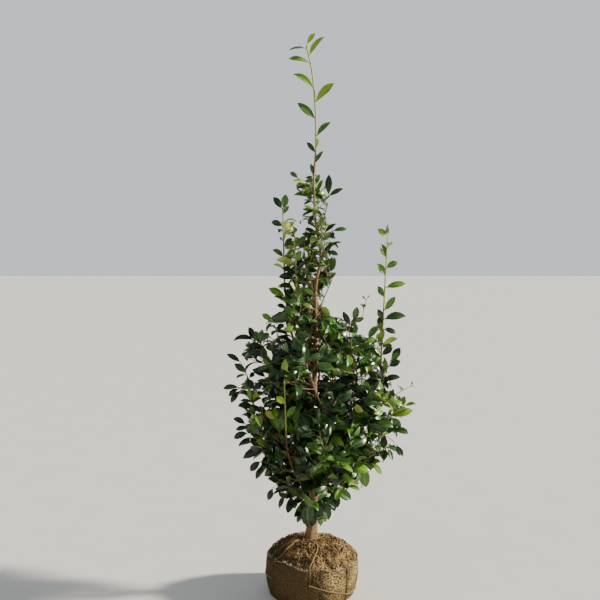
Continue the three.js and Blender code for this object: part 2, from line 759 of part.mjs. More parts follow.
function trunkMasses() {
  return TRUNK_MASSES.map(({ name, height, bearing, length, slope, low }) => ({
    name: `foliage_${name}`,
    stem: {
      ...(low ? LOW : BUSHY),
      start: trunkPoint(height),
      direction: bearingVector(THREE.MathUtils.degToRad(bearing)).setZ(slope).normalize(),
      length,
      foot: BOUGH_TIP_RADIUS,
      bareLength: BARE_LENGTH,
    },
  }));
}

function addLeader() {
  const curve = lineCurve(LEADER_LINE);
  const solids = [limbSolid(curve, taper(LEADER_FOOT_RADIUS, LEADER_TIP_RADIUS), LEADER_SIDES, LEADER_STEPS)];
  LEADER_LEAVES.forEach(([height, rank, length, degrees], k) => {
    const { point, tangent } = chordAt(curve, alongAtHeight(curve, height), LEADER_STEPS);
    const side = new THREE.Vector3(rank, 0.35 * swing(31, k), 0).normalize();
    const angle = THREE.MathUtils.degToRad(degrees);
    const axis = turned(tangent, side, angle).normalize();
    solids.push(leafSolid({ root: point, axis, facing: facingOf(point, [32, k]), length }));
  });
  return solids;
}

function addFoliage(masses, trunkRoom) {
  masses.forEach((mass, i) => {
    mass.seed = 100 + i;
    mass.stem.key = 0;
    const stem = shootSolid(mass.stem, mass.stem.foot, STEM_TIP_RADIUS, STEM_SIDES).subtract(trunkRoom);
    mass.solid = stem;
    mass.shoots = [mass.stem];
    stand(stem, mass.name);
  });
  masses.forEach(addTwigs);
  const longest = Math.max(...masses.map((mass) => mass.shoots.length));
  for (let k = 0; k < longest; k++) {
    masses.forEach((mass) => mass.shoots[k] && addLeaves(mass, mass.shoots[k]));
  }
  masses.forEach((mass) => addPart(mass.name, mass.solid, "leaf"));
}

addRootBall();
const trunkRoom = addTrunk();
const leaderSolids = addLeader();
leaderSolids.forEach((solid) => stand(solid, "shoot_leader"));
const limbMasses = addLimbs([...tallLimbPlans(), ...boughPlans(), lowBoughPlan()], trunkRoom);
addFoliage([...limbMasses, ...trunkMasses()], trunkRoom);
addPart("shoot_leader", fused(leaderSolids), "young_leaf");

export default group;
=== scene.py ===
"""A young sakaki tree with its root ball wrapped in burlap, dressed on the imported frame.

Lengths are in millimetres until a mesh is made, and in metres in the materials and on the stage.
Z is up, the front faces -Y, and +X is on the viewer's right.
"""

import bisect
import json
import math
from dataclasses import dataclass
from itertools import product

import bpy
import numpy as np
from mathutils import Matrix, Vector, noise
from mathutils.bvhtree import BVHTree

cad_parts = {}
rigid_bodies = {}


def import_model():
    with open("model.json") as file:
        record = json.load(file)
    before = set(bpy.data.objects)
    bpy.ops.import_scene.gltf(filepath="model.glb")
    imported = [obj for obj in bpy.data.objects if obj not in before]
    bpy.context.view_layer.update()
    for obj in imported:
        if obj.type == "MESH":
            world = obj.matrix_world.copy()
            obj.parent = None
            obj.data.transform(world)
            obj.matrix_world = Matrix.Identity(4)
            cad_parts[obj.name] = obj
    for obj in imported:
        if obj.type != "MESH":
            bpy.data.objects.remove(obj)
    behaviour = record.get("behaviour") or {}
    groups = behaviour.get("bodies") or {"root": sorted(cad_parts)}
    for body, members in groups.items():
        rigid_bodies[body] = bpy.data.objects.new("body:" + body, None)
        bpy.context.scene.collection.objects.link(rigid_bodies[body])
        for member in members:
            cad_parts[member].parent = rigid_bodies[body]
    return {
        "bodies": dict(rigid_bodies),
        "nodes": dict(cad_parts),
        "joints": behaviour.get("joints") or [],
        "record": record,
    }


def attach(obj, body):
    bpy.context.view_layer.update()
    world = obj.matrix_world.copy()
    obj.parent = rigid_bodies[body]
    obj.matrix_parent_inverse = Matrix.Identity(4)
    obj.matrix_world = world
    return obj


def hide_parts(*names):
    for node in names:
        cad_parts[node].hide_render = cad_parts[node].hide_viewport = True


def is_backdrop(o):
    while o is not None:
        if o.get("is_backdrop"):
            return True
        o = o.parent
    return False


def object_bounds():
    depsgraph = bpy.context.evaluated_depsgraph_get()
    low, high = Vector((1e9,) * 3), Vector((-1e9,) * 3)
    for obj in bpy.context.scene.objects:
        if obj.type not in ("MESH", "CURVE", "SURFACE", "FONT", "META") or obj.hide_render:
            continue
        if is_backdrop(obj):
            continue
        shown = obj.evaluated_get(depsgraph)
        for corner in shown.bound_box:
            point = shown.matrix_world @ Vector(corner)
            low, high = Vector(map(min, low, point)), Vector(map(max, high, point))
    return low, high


MM = 0.001
UP = Vector((0, 0, 1))

# Root ball, as in the part's source
BALL_FOOT_RADIUS = 127
BALL_BELLY_RADIUS = 140
BALL_BELLY_HEIGHT = 66
BALL_RIM_RADIUS = 137
BALL_RIM_HEIGHT = 106
HEM_WAVE = 4
FOLD = 1.6
HEM_RISE = 17
HEM_RISE_BEARING = -147
HEM_RISE_SPREAD = 0.56
WRAP_LEAN = 0.86
SOIL_TOP_HEIGHT = 160
SOIL_SEAT_RADIUS = 27
SOIL_LUMP = 3.5
DOME_POWER = 2.2
TWINE_RADIUS = 1.7
TWINE_BEARINGS = {"front": -93, "right": -42, "left": -146, "back_right": 28, "back": 88, "back_left": 152}
TWINE_SLANTS = {"front": 26, "right": 8, "left": 8, "back_right": 14, "back": -18, "back_left": 10}
BAND_HEIGHTS = [
    (-94, 67), (-68, 46), (-42, 24), (-10, 13), (40, 12), (90, 26), (140, 46), (180, 58), (214, 66),
]

# Root ball: what only this script adds, and how finely
SOIL_SEGMENTS = 330
SOIL_RINGS = 75
SOIL_RING_STEP = 1.8
SOIL_SKIRT = ((86, 3), (70, 5))
SOIL_CRUMBS = 3600
SOIL_ROOTS = 110
ROOT_STEPS = 9
WRAP_SEGMENTS = 540
WARP_THREADS = 360
WEFT_SPACING = 0.00244
WRAP_RADIUS = 0.141
# Half width of the painted shadow beside each strand of twine, in metres
TWINE_SHADOW_HALF_WIDTH = 0.0034
FRAY_THREADS = 900
FRAY_RADII = [0.8, 0.8, 0.7, 0.6, 0.5, 0.3]
STRAND_FIRST_RADIUS = 24
STRAND_LAST_RADIUS = 112
STRAND_LIFT = 1.8
STRAND_ROOM = 6.0
TWINE_TWIST = 11
COLLAR_RADIUS = 25

# Trunk: height, lean to the right and lean to the back
TRUNK_LINE = [
    (160.3, 0, 0), (180, 0, 0), (240, 5, 1), (420, 8, 3), (630, 9, 2), (800, 12, -2), (920, 12, -3),
    (1012, 27, 0), (1110, 12, 4), (1190, 7, 3),
]
TRUNK_FOOT_RADIUS = 16
TRUNK_MIDDLE_RADIUS = 7.6
TRUNK_TOP_RADIUS = 3
TRUNK_MIDDLE = 0.45
FLARE_RADIUS = 6
FLARE_REACH = 0.03
FLARE_LOBES = 4

# Leader: the young shoot over the trunk, as height, lean to the right and lean to the back
LEADER_LINE = [
    (1190.3, 7, 3), (1245, 6, 2), (1331, 12, 0), (1444, 11, 0), (1556, 1, -1), (1635, -16, -2),
]
LEADER_FOOT_RADIUS = 2.8
LEADER_TIP_RADIUS = 1.3

# Camera, and the photograph's pixels
CAMERA_PLACE = Vector((-35, -2400, 960))
CAMERA_PITCH = math.radians(1.9)
PITCH_SINE = math.sin(CAMERA_PITCH)
PITCH_COSINE = math.cos(CAMERA_PITCH)
FOCAL = 800
IMAGE_MIDDLE = 300

# Key light
KEY_BEARING = math.radians(2)
KEY_HEIGHT = math.radians(21)

# Leaves where the photograph shows them: pixel of the root, pixel of the tip, tone, bend in degrees
# A leaf in full sun is given a lighter tone here, which is painted light.
LEADER_SPRIGS = [
    ([], [
        (304.7, 44, 315.7, 33.6, "young", 35), (311, 56.6, 324.3, 37, "young", 35),
        (306, 48.5, 289, 51.5, "fresh", 40), (309, 64, 288, 61, "fresh", 65),
        (312.4, 89, 292.8, 74.3, "fresh", 40), (315.7, 103.5, 335.3, 84, "young", 40),
        (314.3, 119.7, 297, 103.5, "mid", 25), (315.7, 137, 330.5, 122, "mid", 45),
        (314.8, 154, 307, 142, "deep", 20), (315.4, 150, 317, 139, "young", 20),
        (314.8, 164, 323.4, 151, "mid", 25), (313.8, 177, 310.5, 164, "dark", 20),
    ]),
    ([(313.5, 190), (306, 184.5), (299, 179)], [
        (299, 179, 290, 172, "mid", 30), (307, 185, 293, 181.5, "pale", 60),
        (308, 186, 296, 189, "dark", 25),
    ]),
    ([(316, 211), (321, 206), (328.5, 196)], [
        (328, 195, 327.5, 174.5, "dark", 15), (329, 197, 343.8, 189.5, "deep", 40),
        (328, 197, 324.5, 204, "dark", 35),
    ]),
    ([(317, 226), (320.5, 219), (323.7, 211.5)], [(323.7, 211.5, 325.5, 207.5, "fresh", 20)]),
    ([(317, 240), (324, 234), (334, 231)], [
        (322, 231, 336.8, 223.7, "dark", 50), (332, 237, 346.8, 229.6, "mid", 35),
        (333, 232, 331.5, 240, "dark", 30),
    ]),
    ([(319, 262), (323, 255), (327.5, 249)], [
        (327, 250, 342.2, 243, "deep", 50), (326, 252, 338.5, 256, "dark", 55),
        (324, 254, 330, 244.5, "deep", 25),
    ]),
    ([], [
        (312.5, 198.5, 293.4, 197, "mid", 50), (312, 200, 304, 205.5, "dark", 35),
        (313, 203.5, 303.5, 201, "deep", 35), (312.5, 210.5, 304, 207, "fresh", 35),
        (316, 229, 306.5, 222.5, "mid", 30), (314, 197, 315.5, 191, "fresh", 20),
        (313, 211, 302.5, 209.5, "mid", 40), (313, 212, 302, 217, "dark", 45),
        (312.5, 214, 309, 225, "dark", 30), (316, 193, 323.7, 180, "fresh", 20),
        (316, 194, 323, 199.5, "dark", 40), (317, 234, 318.5, 221, "mid", 20),
        (317, 236, 304.5, 229, "dark", 45), (316, 241, 301, 235, "deep", 50),
        (317, 247, 305.5, 243, "dark", 40), (320.5, 268, 336.8, 259.5, "mid", 30),
        (320, 281, 329.5, 265, "dark", 20), (320, 282, 336.8, 273.6, "mid", 30),
        (318, 257, 307, 250, "dark", 35), (319, 260, 302, 265, "dark", 75),
        (318, 268, 309, 263, "pale", 30), (317, 281, 306, 277, "pale", 35),
        (313.5, 296, 303, 289, "mid", 30), (315, 292, 323, 290, "mid", 35),
        (314, 309, 302, 304.5, "fresh", 35),
    ]),
]
LEFT_SPRIGS = [
    ([], [
        (282.8, 208.5, 273.3, 197, "dark", 20), (283, 207, 286, 194.5, "mid", 15),
        (284, 215, 289, 206, "mid", 20), (284, 227.5, 271.5, 221.5, "deep", 50),
        (284, 229, 278.5, 234, "dark", 35), (294.8, 231, 280.2, 223.8, "pale", 60),
        (294, 236, 283, 232, "pale", 45), (286, 242, 279.5, 237.5, "mid", 35),
        (285, 248, 293, 239, "deep", 30), (293, 247, 285, 241, "deep", 35),
        (299, 248, 308, 240.5, "dark", 30), (290, 268, 281, 262.5, "dark", 40),
        (290, 291, 277, 287.5, "deep", 40), (292, 303, 280, 300, "mid", 40),
        (295.5, 249, 307.5, 236, "mid", 30), (285.5, 258, 272, 250.5, "mid", 50),
        (294.5, 264.5, 276, 261, "pale", 40), (296, 262, 302.5, 251, "fresh", 25),
        (295, 275, 281, 269.5, "dark", 55), (295, 280, 278.5, 277.5, "dark", 50),
        (295, 287, 278.5, 285.5, "dark", 45), (297, 270, 305.5, 261.5, "deep", 30),
        (297, 283, 306, 274.5, "dark", 35), (297, 296, 307, 288, "mid", 35),
        (298, 305, 308, 299, "deep", 35), (296, 293, 290, 284.5, "pale", 30),
        (286, 297, 268, 289.5, "fresh", 45), (287, 301, 273.5, 297.5, "dark", 45),
        (289, 309, 276.5, 306, "dark", 50),
    ]),
]
RIGHT_SPRIGS = [
    ([], [
        (385.2, 236, 385.8, 225, "deep", 20), (385, 238, 377.3, 228.8, "young", 30),
        (385.5, 259, 380.4, 244.5, "mid", 15), (386, 249, 390.8, 242.5, "fresh", 20),
        (385.6, 275.7, 378, 263.2, "fresh", 20), (386, 269, 397.3, 262, "fresh", 45),
        (385.8, 297.4, 377.3, 286.4, "mid", 20), (386.5, 288.5, 405.8, 285, "fresh", 45),
        (384.6, 321, 377.6, 309.2, "deep", 20), (386, 241, 384.4, 233.5, "fresh", 20),
        (385.8, 311, 396, 297.2, "fresh", 20), (386, 320, 406.4, 318, "deep", 50),
        (383, 328, 378.5, 318.5, "dark", 20), (385, 329, 396, 333.5, "dark", 45),
        (383.5, 343, 381, 330.5, "young", 20), (384, 348, 378.8, 339, "dark", 20),
        (384.4, 355.5, 393.2, 348, "dark", 45), (381, 354, 373.5, 348, "mid", 30),
    ]),
    ([(361, 318), (364, 308), (366.5, 299)], [
        (366.5, 299, 369.5, 295.5, "fresh", 20), (366, 300, 362.3, 296, "mid", 20),
        (364, 309, 359.5, 304, "deep", 20), (358, 330.5, 357.2, 320, "deep", 20),
        (355.3, 341, 357, 333, "mid", 20),
    ]),
    ([(344, 336), (350, 328), (353, 322)], [
        (341.5, 320.5, 357, 306.6, "deep", 25), (342.5, 328, 357, 318, "deep", 30),
        (341, 327, 342.8, 311.5, "dark", 20), (352, 323, 364.5, 318, "mid", 35),
    ]),
    ([(356, 352), (366, 341), (378, 330)], [
        (368, 339, 377.5, 325.5, "mid", 45), (378, 330, 382, 322.5, "fresh", 20),
        (366, 343.5, 375, 338.5, "fresh", 30), (356, 350, 365.5, 358, "mid", 30),
    ]),
    ([(383, 374), (388, 367), (391, 360)], [
        (391, 361, 401, 348.5, "dark", 30), (391.5, 362, 399.7, 353, "mid", 30),
        (388, 367, 400.5, 361, "dark", 40),
    ]),
    ([(376, 388), (383, 381)], [
        (384, 379, 400.5, 377.5, "dark", 60), (382, 381, 392, 386, "deep", 40),
        (385, 371, 377.5, 364, "dark", 40), (378, 366, 367, 371.5, "dark", 45),
        (380, 379, 363.5, 383.5, "dark", 35), (382, 383, 383, 396, "dark", 25),
        (386, 388, 391, 377.5, "dark", 30),
    ]),
    ([(388, 402), (400, 392), (412, 385.5)], [
        (411.5, 385.5, 415.5, 387.5, "young", 20), (411, 386, 412.5, 381.5, "fresh", 20),
        (402, 391, 396, 384.5, "fresh", 20), (390.5, 398, 393.6, 388, "deep", 25),
        (388, 402, 392, 392, "mid", 25),
    ]),
    ([(390, 416), (398, 410), (404, 406)], [
        (407.5, 406, 415.3, 403.8, "young", 30), (407, 406, 393, 400.5, "fresh", 35),
        (393.6, 407, 382, 398.5, "fresh", 35), (381, 405.5, 369, 397.5, "pale", 30),
        (383.5, 401, 374.5, 393, "fresh", 30), (383.5, 419, 398, 413.8, "pale", 35),
        (384.5, 420, 397, 419, "deep", 35), (394, 423, 401, 427, "mid", 30),
        (395, 421, 408.5, 408.5, "fresh", 30), (399, 409, 405, 396, "fresh", 25),
        (397, 422, 413, 411, "young", 35), (392, 414, 398.5, 402, "fresh", 25),
    ]),
    ([(380, 436), (391, 431)], [
        (391, 431, 408.3, 433.5, "deep", 60), (386, 434, 398, 424, "deep", 35),
        (382, 440, 388.2, 435.2, "fresh", 30), (385.5, 438, 383.5, 448.5, "dark", 30),
        (380.5, 443, 372, 440.5, "fresh", 40),
    ]),
    ([(376, 455), (386, 448), (396, 444.5)], [
        (396, 445.5, 400.8, 456, "dark", 35), (388, 448, 390.5, 459, "deep", 30),
        (386, 450, 383, 459.5, "mid", 30), (382, 449, 377, 458, "dark", 35),
        (387, 449, 395.5, 447, "fresh", 30), (378, 452, 374, 443, "mid", 30),
        (386, 450, 397.5, 452, "dark", 30), (384, 449, 380.5, 456, "dark", 30),
        (376, 455, 368, 463, "dark", 25),
    ]),
    ([(331, 480), (339, 472), (345, 468)], [
        (342, 469, 370.5, 470.5, "fresh", 75), (345, 468, 352, 457, "fresh", 30),
        (336, 476, 326, 470, "fresh", 30), (338, 473, 334, 490, "deep", 35),
        (341, 471, 350, 486, "fresh", 45),
    ]),
    ([(352, 466), (362, 463), (372, 462)], [
        (371, 462, 381.8, 474, "fresh", 50), (363, 463, 366.8, 487, "fresh", 40),
        (368, 462, 380, 461, "fresh", 45),
    ]),
    ([(322, 498), (331, 492), (336, 488)], [
        (335, 489, 338.8, 507.5, "deep", 30), (331, 493, 334, 511, "dark", 30),
        (336, 488, 351, 499, "mid", 45), (347, 489, 350, 501, "fresh", 30),
    ]),
    ([(376, 424), (366, 416), (358, 411)], [
        (364.5, 411, 352.5, 405, "pale", 40), (375, 419, 358, 410.5, "mid", 35),
        (369, 421, 352.5, 419.5, "mid", 35), (372, 416, 362, 425, "dark", 35),
    ]),
    ([(356, 438), (350, 430)], [
        (348, 430, 336.5, 441, "pale", 25), (347, 424, 338.5, 408.5, "pale", 40),
        (334, 442, 324.5, 432, "deep", 35),
    ]),
    ([(362, 380), (356, 374)], [
        (355.5, 369.5, 341, 367.5, "fresh", 40), (354, 389, 334, 384, "dark", 30),
        (355, 378, 344, 374, "dark", 35),
    ]),
    ([(330, 380), (327, 373)], [
        (325.5, 370, 335.5, 377.5, "fresh", 35), (329, 378, 320, 384, "deep", 35),
    ]),
]
CROWN_SPRIGS = [
    ([(278, 338), (276, 330), (273, 320)], [
        (273.5, 321, 261.2, 315.3, "fresh", 50), (276.5, 331, 283, 324.5, "deep", 25),
        (271, 344, 282.5, 335.5, "fresh", 30), (280, 336, 290.5, 343, "dark", 60),
    ]),
    ([(266, 350), (259, 344), (253.5, 340)], [
        (253.5, 341, 248, 327.5, "dark", 15), (257, 343, 269, 333, "mid", 50),
        (261, 345, 255, 331, "mid", 35), (264, 349, 254.5, 345, "dark", 35),
        (255, 349, 247.8, 346.3, "dark", 25), (276, 351, 261, 350, "mid", 35),
        (250, 341, 233.5, 342, "dark", 65),
    ]),
    ([(272, 366), (262, 357)], [
        (261, 357, 245.5, 352, "dark", 45), (267, 361, 262, 348, "deep", 25),
        (266.5, 365, 282, 357.8, "dark", 40), (277.5, 362.5, 274.5, 374, "deep", 25),
    ]),
    ([(253, 388), (247, 375), (241, 362.5)], [
        (241, 362.5, 225.8, 355.2, "dark", 55), (246, 373.5, 234.2, 364, "deep", 30),
        (247, 375.5, 249.8, 391, "mid", 25), (247, 377, 245.5, 389, "deep", 25),
        (248.5, 378, 252.5, 388, "dark", 25), (246.5, 375.5, 237.3, 378.5, "deep", 45),
        (251, 379, 254, 374, "dark", 25),
    ]),
    ([(275, 388), (266, 378)], [
        (266, 378, 251.5, 370.5, "dark", 65), (269, 380, 276, 368, "deep", 30),
        (266.5, 381, 252.8, 390.5, "dark", 35), (266.8, 385, 272.5, 399, "dark", 30),
        (261.5, 390, 269.5, 401.5, "deep", 30),
    ]),
    ([(257, 408), (248, 397), (240, 388)], [
        (240, 387, 223.2, 389.8, "deep", 50), (239, 390, 232, 403.5, "dark", 45),
        (240, 388, 229.5, 397, "dark", 30), (247, 412, 238, 406, "dark", 20),
        (250, 400, 249.5, 388.5, "fresh", 20), (253, 404, 257, 391.5, "young", 25),
        (248, 396, 237, 394, "mid", 45), (254.5, 402.5, 262.5, 397.5, "dark", 30),
        (256, 404, 260, 412, "dark", 30), (249, 403, 240, 402, "deep", 40),
    ]),
    ([(262, 424), (249, 413)], [
        (249, 413.5, 237.8, 406.5, "dark", 40), (254, 418, 251, 405, "deep", 25),
    ]),
    ([(262, 436), (246, 425)], [(246, 425.5, 232.8, 420, "dark", 60), (250, 428, 236, 431, "dark", 45)]),
    ([(268, 448), (258, 440), (249, 433)], [
        (248, 433, 234.2, 439.5, "dark", 60), (252, 441, 238.3, 446, "dark", 55),
        (251, 449, 243, 459, "dark", 40), (262, 444, 257, 429.5, "mid", 30),
        (258, 449, 253.5, 461, "dark", 35), (265, 450, 259, 440, "deep", 30),
    ]),
    ([(277, 466), (262, 461)], [(262, 461, 251.2, 472, "dark", 50), (270, 463, 256, 479.5, "dark", 45)]),
    ([(288, 484), (280, 482), (273.5, 487)], [
        (273.5, 488, 268.3, 500.5, "dark", 35), (281, 483, 270, 478, "dark", 45),
    ]),
    ([(301, 496), (292, 494), (286, 495)], [
        (286, 495, 278.5, 508, "dark", 35), (292, 496, 287.5, 513, "dark", 35),
        (298, 496, 295, 509, "deep", 30),
    ]),
    ([(311, 500), (306, 498), (301, 501)], [
        (302, 501, 296, 517, "deep", 35), (306, 499, 304, 519, "mid", 30),
        (303, 500, 290, 508, "dark", 45), (308, 499, 301, 511, "dark", 40),
    ], 34),
    ([(313, 503), (311, 499), (309, 500)], [
        (310, 501, 309, 522, "deep", 30), (311, 500, 315, 517, "dark", 30),
        (309, 501, 303, 524, "dark", 30), (311, 499, 318, 509, "mid", 40),
    ], 46),
    ([(315, 500), (318, 497), (322, 500)], [
        (318, 498, 325, 515, "mid", 35), (321, 499, 328, 520, "deep", 35),
        (322, 500, 335, 510, "dark", 45), (319, 498, 319, 519, "dark", 30),
        (320, 498, 331, 501, "deep", 50),
    ], 36),
    ([(313, 514), (316, 510), (318, 511)], [
        (317, 510, 325.5, 522, "fresh", 35), (318, 511, 321, 526, "deep", 30),
        (316, 510, 313, 526, "dark", 30),
    ], 34),
    ([(311, 514), (307, 511), (304, 512)], [
        (304, 512, 298, 523, "deep", 35), (307, 512, 307, 527, "deep", 30),
        (305, 511, 294, 516, "dark", 45),
    ], 30),
]
FRONT_SPRIGS = [
    ([], [
        (286.2, 382, 284.8, 358.5, "young", 12), (286.6, 386, 290, 379, "fresh", 25),
        (286.5, 404, 276.5, 395, "young", 40), (287, 403, 297.5, 392, "fresh", 35),
        (287, 418, 297, 407, "fresh", 30), (286.5, 420, 278, 409, "fresh", 30),
    ]),
    ([(283, 446), (279, 432), (277, 420)], [
        (277.5, 421, 272, 405, "fresh", 25), (279, 431, 269, 414, "fresh", 25),
        (280, 433, 284, 413, "mid", 20), (277, 420, 264, 413, "pale", 45),
    ]),
    ([(285, 448), (292, 436), (295, 424)], [
        (295, 425, 298, 406, "mid", 20), (293, 433, 303, 421, "mid", 30),
        (291, 438, 289, 422, "fresh", 20),
    ]),
    ([(288, 466), (279, 455), (270, 446)], [
        (270, 446, 256.5, 441.5, "young", 50), (275, 450, 262, 455, "deep", 45),
        (279, 455, 272, 436, "deep", 25),
    ]),
    ([(302, 462), (297, 456)], [
        (289.5, 449, 298, 454.5, "pale", 40), (309, 467, 310, 481, "fresh", 30),
        (300, 458, 309, 452, "deep", 30),
    ]),
]

# The lists, how far the leaves of each turn to the camera, and how broad they are
SPRIG_LISTS = [
    (LEADER_SPRIGS, 0.7, 0.78),
    (LEFT_SPRIGS, 0.74, 1),
    (RIGHT_SPRIGS, 0.85, 1),
    (CROWN_SPRIGS, 0.62, 1),
    (FRONT_SPRIGS, 0.8, 1),
]

# Where the photograph shows wood between the leaves: pixel, and depth of the wood
OPEN_LINES = [
    [(313.5, 262, 0), (315.5, 290, 0), (315, 316, 0)],
    [(315.3, 328, 0), (315, 346, 0)],
    [(314.6, 363, 0), (314, 400, 0)],
    [(300, 500, -10), (292.7, 485.7, -40), (289, 474, -65), (286.4, 458, -95), (285, 443, -112)],
    [(286.5, 436, -118), (287, 418, -122), (286.4, 400, -125), (286, 384, -126)],
]

# The crown's outline in the photograph: row, left and right edge of what the growth rule fills
FRONT_OUTLINE = [
    (172, 309, 319), (186, 297, 324), (200, 294, 330), (214, 296, 323), (228, 297, 338), (245, 297, 339),
    (262, 298, 333), (276, 283, 329), (300, 278, 322), (312, 278, 331), (318, 271, 342), (328, 259, 352),
    (336, 248, 366), (346, 245, 380), (360, 242, 389), (378, 239, 391), (392, 234, 397), (405, 236, 406),
    (415, 240, 409), (425, 239, 403), (436, 242, 398), (447, 248, 394), (457, 253, 386), (470, 260, 377),
    (480, 264, 370), (490, 272, 360), (500, 279, 348), (510, 287, 338), (518, 296, 330), (525, 302, 323),
]

# The same for the leaves on the tall shoots
LEFT_COLUMN = [
    (198, 278, 287), (215, 273, 292), (228, 271, 306), (262, 270, 308), (300, 270, 309), (312, 272, 309),
]
RIGHT_COLUMN = [
    (224, 380, 389), (240, 376, 392), (270, 375, 396), (300, 374, 398), (330, 374, 399), (350, 374, 400),
]
TALL_OUTLINES = {"shoot_left": LEFT_COLUMN, "shoot_second": LEFT_COLUMN, "shoot_right": RIGHT_COLUMN}

# Gaps through which the photograph shows the background: pixel and radius
FRONT_GAPS = [
    (260, 364, 6), (269, 355, 5), (270, 375, 4.5), (280, 325, 6), (290, 335, 5), (330, 313, 5),
    (349, 335, 5), (360, 363, 4.5), (259, 404, 4.5), (349, 375, 4.5), (371, 384, 4.5), (302, 349, 4),
    (335, 356, 4), (374, 357, 4.5), (252, 386, 4), (270, 398, 4), (357, 381, 4), (245, 434, 4),
    (326, 271, 5), (267, 374, 4), (346, 371, 4), (259, 446, 4),
]

# How uneven the outlines are, and by how much the rule's leaves stay inside them below a row
OUTLINE_ROUGHNESS = 9
OUTLINE_INSET = 3
CROWN_TOP_ROW = 305

# Gaps in the crown: their size, where they begin, up to which height, and noise levels from there out
SKY_PATCH = 38
SKY_FROM = 0.4
SKY_TOP = 880
SKY_LEVELS = (0.40, -0.02)

# Crown: reach from its axis at each height
CROWN_AXIS = (16, 4)
CROWN_REACH = [
    (190, 25), (230, 66), (260, 100), (305, 135), (340, 170), (380, 205), (430, 244), (520, 274),
    (600, 296), (650, 292), (715, 268), (785, 214), (835, 162), (875, 118), (920, 92), (1000, 98),
    (1150, 100), (1200, 88), (1260, 60),
]
CROWN_FRINGE = 10
CROWN_FLOOR = 186

# Boughs, from the lowest to the highest, turned by the golden angle
GOLDEN_ANGLE = math.radians(137.5)
BOUGH_COUNT = 13
BOUGH_FIRST_BEARING = 0.3
BOUGH_LOWEST = 222
BOUGH_HIGHEST = 588
BOUGH_SHARE = 0.5
BOUGH_SLOPE_LOW = 0.8
BOUGH_SLOPE_HIGH = 1.2
BOUGH_USUAL_REACH = 110
STEM_RISE_LOW = 70
STEM_RISE_HIGH = 130
LEAF_ROOM = 44
BOUGH_FOOT_RADIUS = 5.2
BOUGH_TIP_RADIUS = 2.4
STEM_RADII = (BOUGH_TIP_RADIUS, 1.2)

# Limbs that end in a tall shoot: name, foot height, tip, tip of the shoot, foot radius
TALL_LIMBS = [
    ("right", 480, (204, -40, 690), (224, -44, 1104), 4.6),
    ("second", 668, (-42, -14, 838), (-53, -20, 1094), 4.4),
    ("left", 590, (-82, 14, 950), (-87, 12, 1152), 4),
    ("front", 292, (-74, -118, 494), (-80, -126, 658), 4.6),
]
TALL_LEAVES_TO = {"shoot_right": 815, "shoot_second": 1080, "shoot_left": 1130, "shoot_front": 600}
LOW_BOUGH = (312, (128, -46, 392), (214, -66, 468), 4.6)

# Masses that stand on the trunk: name, height, bearing in degrees, length, slope, whether low
TRUNK_MASSES = [
    ("foot_front", 214, -60, 70, 0.25, True),
    ("foot_back", 232, 95, 74, 0.3, True),
    ("foot_left", 262, 185, 90, 0.3, True),
    ("inner_front", 330, -115, 120, 0.6, False),
    ("inner_right", 380, 28, 120, 0.7, False),
    ("inner_back", 430, 67, 130, 0.8, False),
    ("inner_left", 480, 190, 130, 1, False),
    ("upper_front", 640, -98, 150, 1.3, False),
    ("upper_right", 700, -17, 130, 1.4, False),
    ("upper_back", 740, 130, 120, 1.4, False),
    ("column_right", 835, 20, 110, 1.8, False),
    ("column_left", 892, 146, 96, 1.8, False),
    ("column_front", 965, -63, 110, 2, False),
    ("column_top", 1066, 52, 110, 2, False),
]

# Seeds that keep the draws of each kind apart
CRUMB_SEED = 71
ROOT_SEED = 73
FRAY_SEED = 79
COLUMN_SEED = 90
MASS_SEED = 100
SPRIG_SEED = 400

# Growth rule
BARE_LENGTH = 26
TWIG_TAPER = 0.45
TWIG_ANGLE = math.radians(50)
TWIG_TURN = math.radians(112)
TWIG_LIFT = 0.12
TWIG_RADII = (1.5, 0.8)
TWIG_BARE = 6
LIMB_TWIG_TAPER = 0.2
TWIGLET_LEAST = 50
TWIGLET_SPACING = 34
TWIGLET_LENGTH = 54
TWIGLET_ANGLE = math.radians(46)
TWIGLET_RADII = (0.95, 0.6)
TWIGLET_LEAF_SHARE = 0.94
COLUMN_FOOT = 800
COLUMN_TOP = 1262
COLUMN_LEAF = 42
LEAF_ANGLE = math.radians(52)
LEAF_FACING = Vector((0.2, -0.42, 0.88))
LIGHT = Vector((0.15, -0.25, 0.85))
CROWN_WIDTH = 300
BUSHY = {"lift": 0.1, "spacing": 36, "twig": 118 * 1.12, "leaf": 55}
LOW = {"lift": 0.1, "spacing": 26, "twig": 62, "leaf": 57}
TALL = {"lift": 0.0, "spacing": 56, "twig": 40, "leaf": 47}
LEAF_INTERNODE = 12.5
LEAF_WIDTH = 0.40
PETIOLE = 5
LEAF_TRIES = 8
MOST_LEAVES = 1380
ROOM_CELL = 45
CARRIER_REACH = 30

# Twigs on the limbs under the tall shoots: number, length, and the share of the limb that stays bare
TALL_LIMB_TWIGS = {
    "shoot_front": (4, 84, 0.3),
    "shoot_right": (5, 96, 0.3),
    "shoot_left": (5, 96, 0.3),
    "shoot_second": (5, 96, 0.3),
}

# The share of a tall shoot from which its bark is green
GREEN_FROM = {"shoot_right": 0.4, "shoot_front": 0.1}
TRUNK_SIDES = 28
LIMB_SIDES = 9

# Leaf tones: upper side, and which underside and midrib go with it. The lighter tones stand both for young
# leaves and, as painted light, for leaves in full sun.
TONES = {
    "dark": ((0.0065, 0.024, 0.005), "dull"),
    "deep": ((0.016, 0.055, 0.007), "dull"),
    "mid": ((0.052, 0.148, 0.014), "dull"),
    "fresh": ((0.095, 0.225, 0.015), "bright"),
    "young": ((0.240, 0.380, 0.028), "bright"),
    "pale": ((0.500, 0.540, 0.120), "bright"),
}
TONE_LEVELS = ((0.73, "fresh"), (0.45, "mid"), (0.2, "deep"))

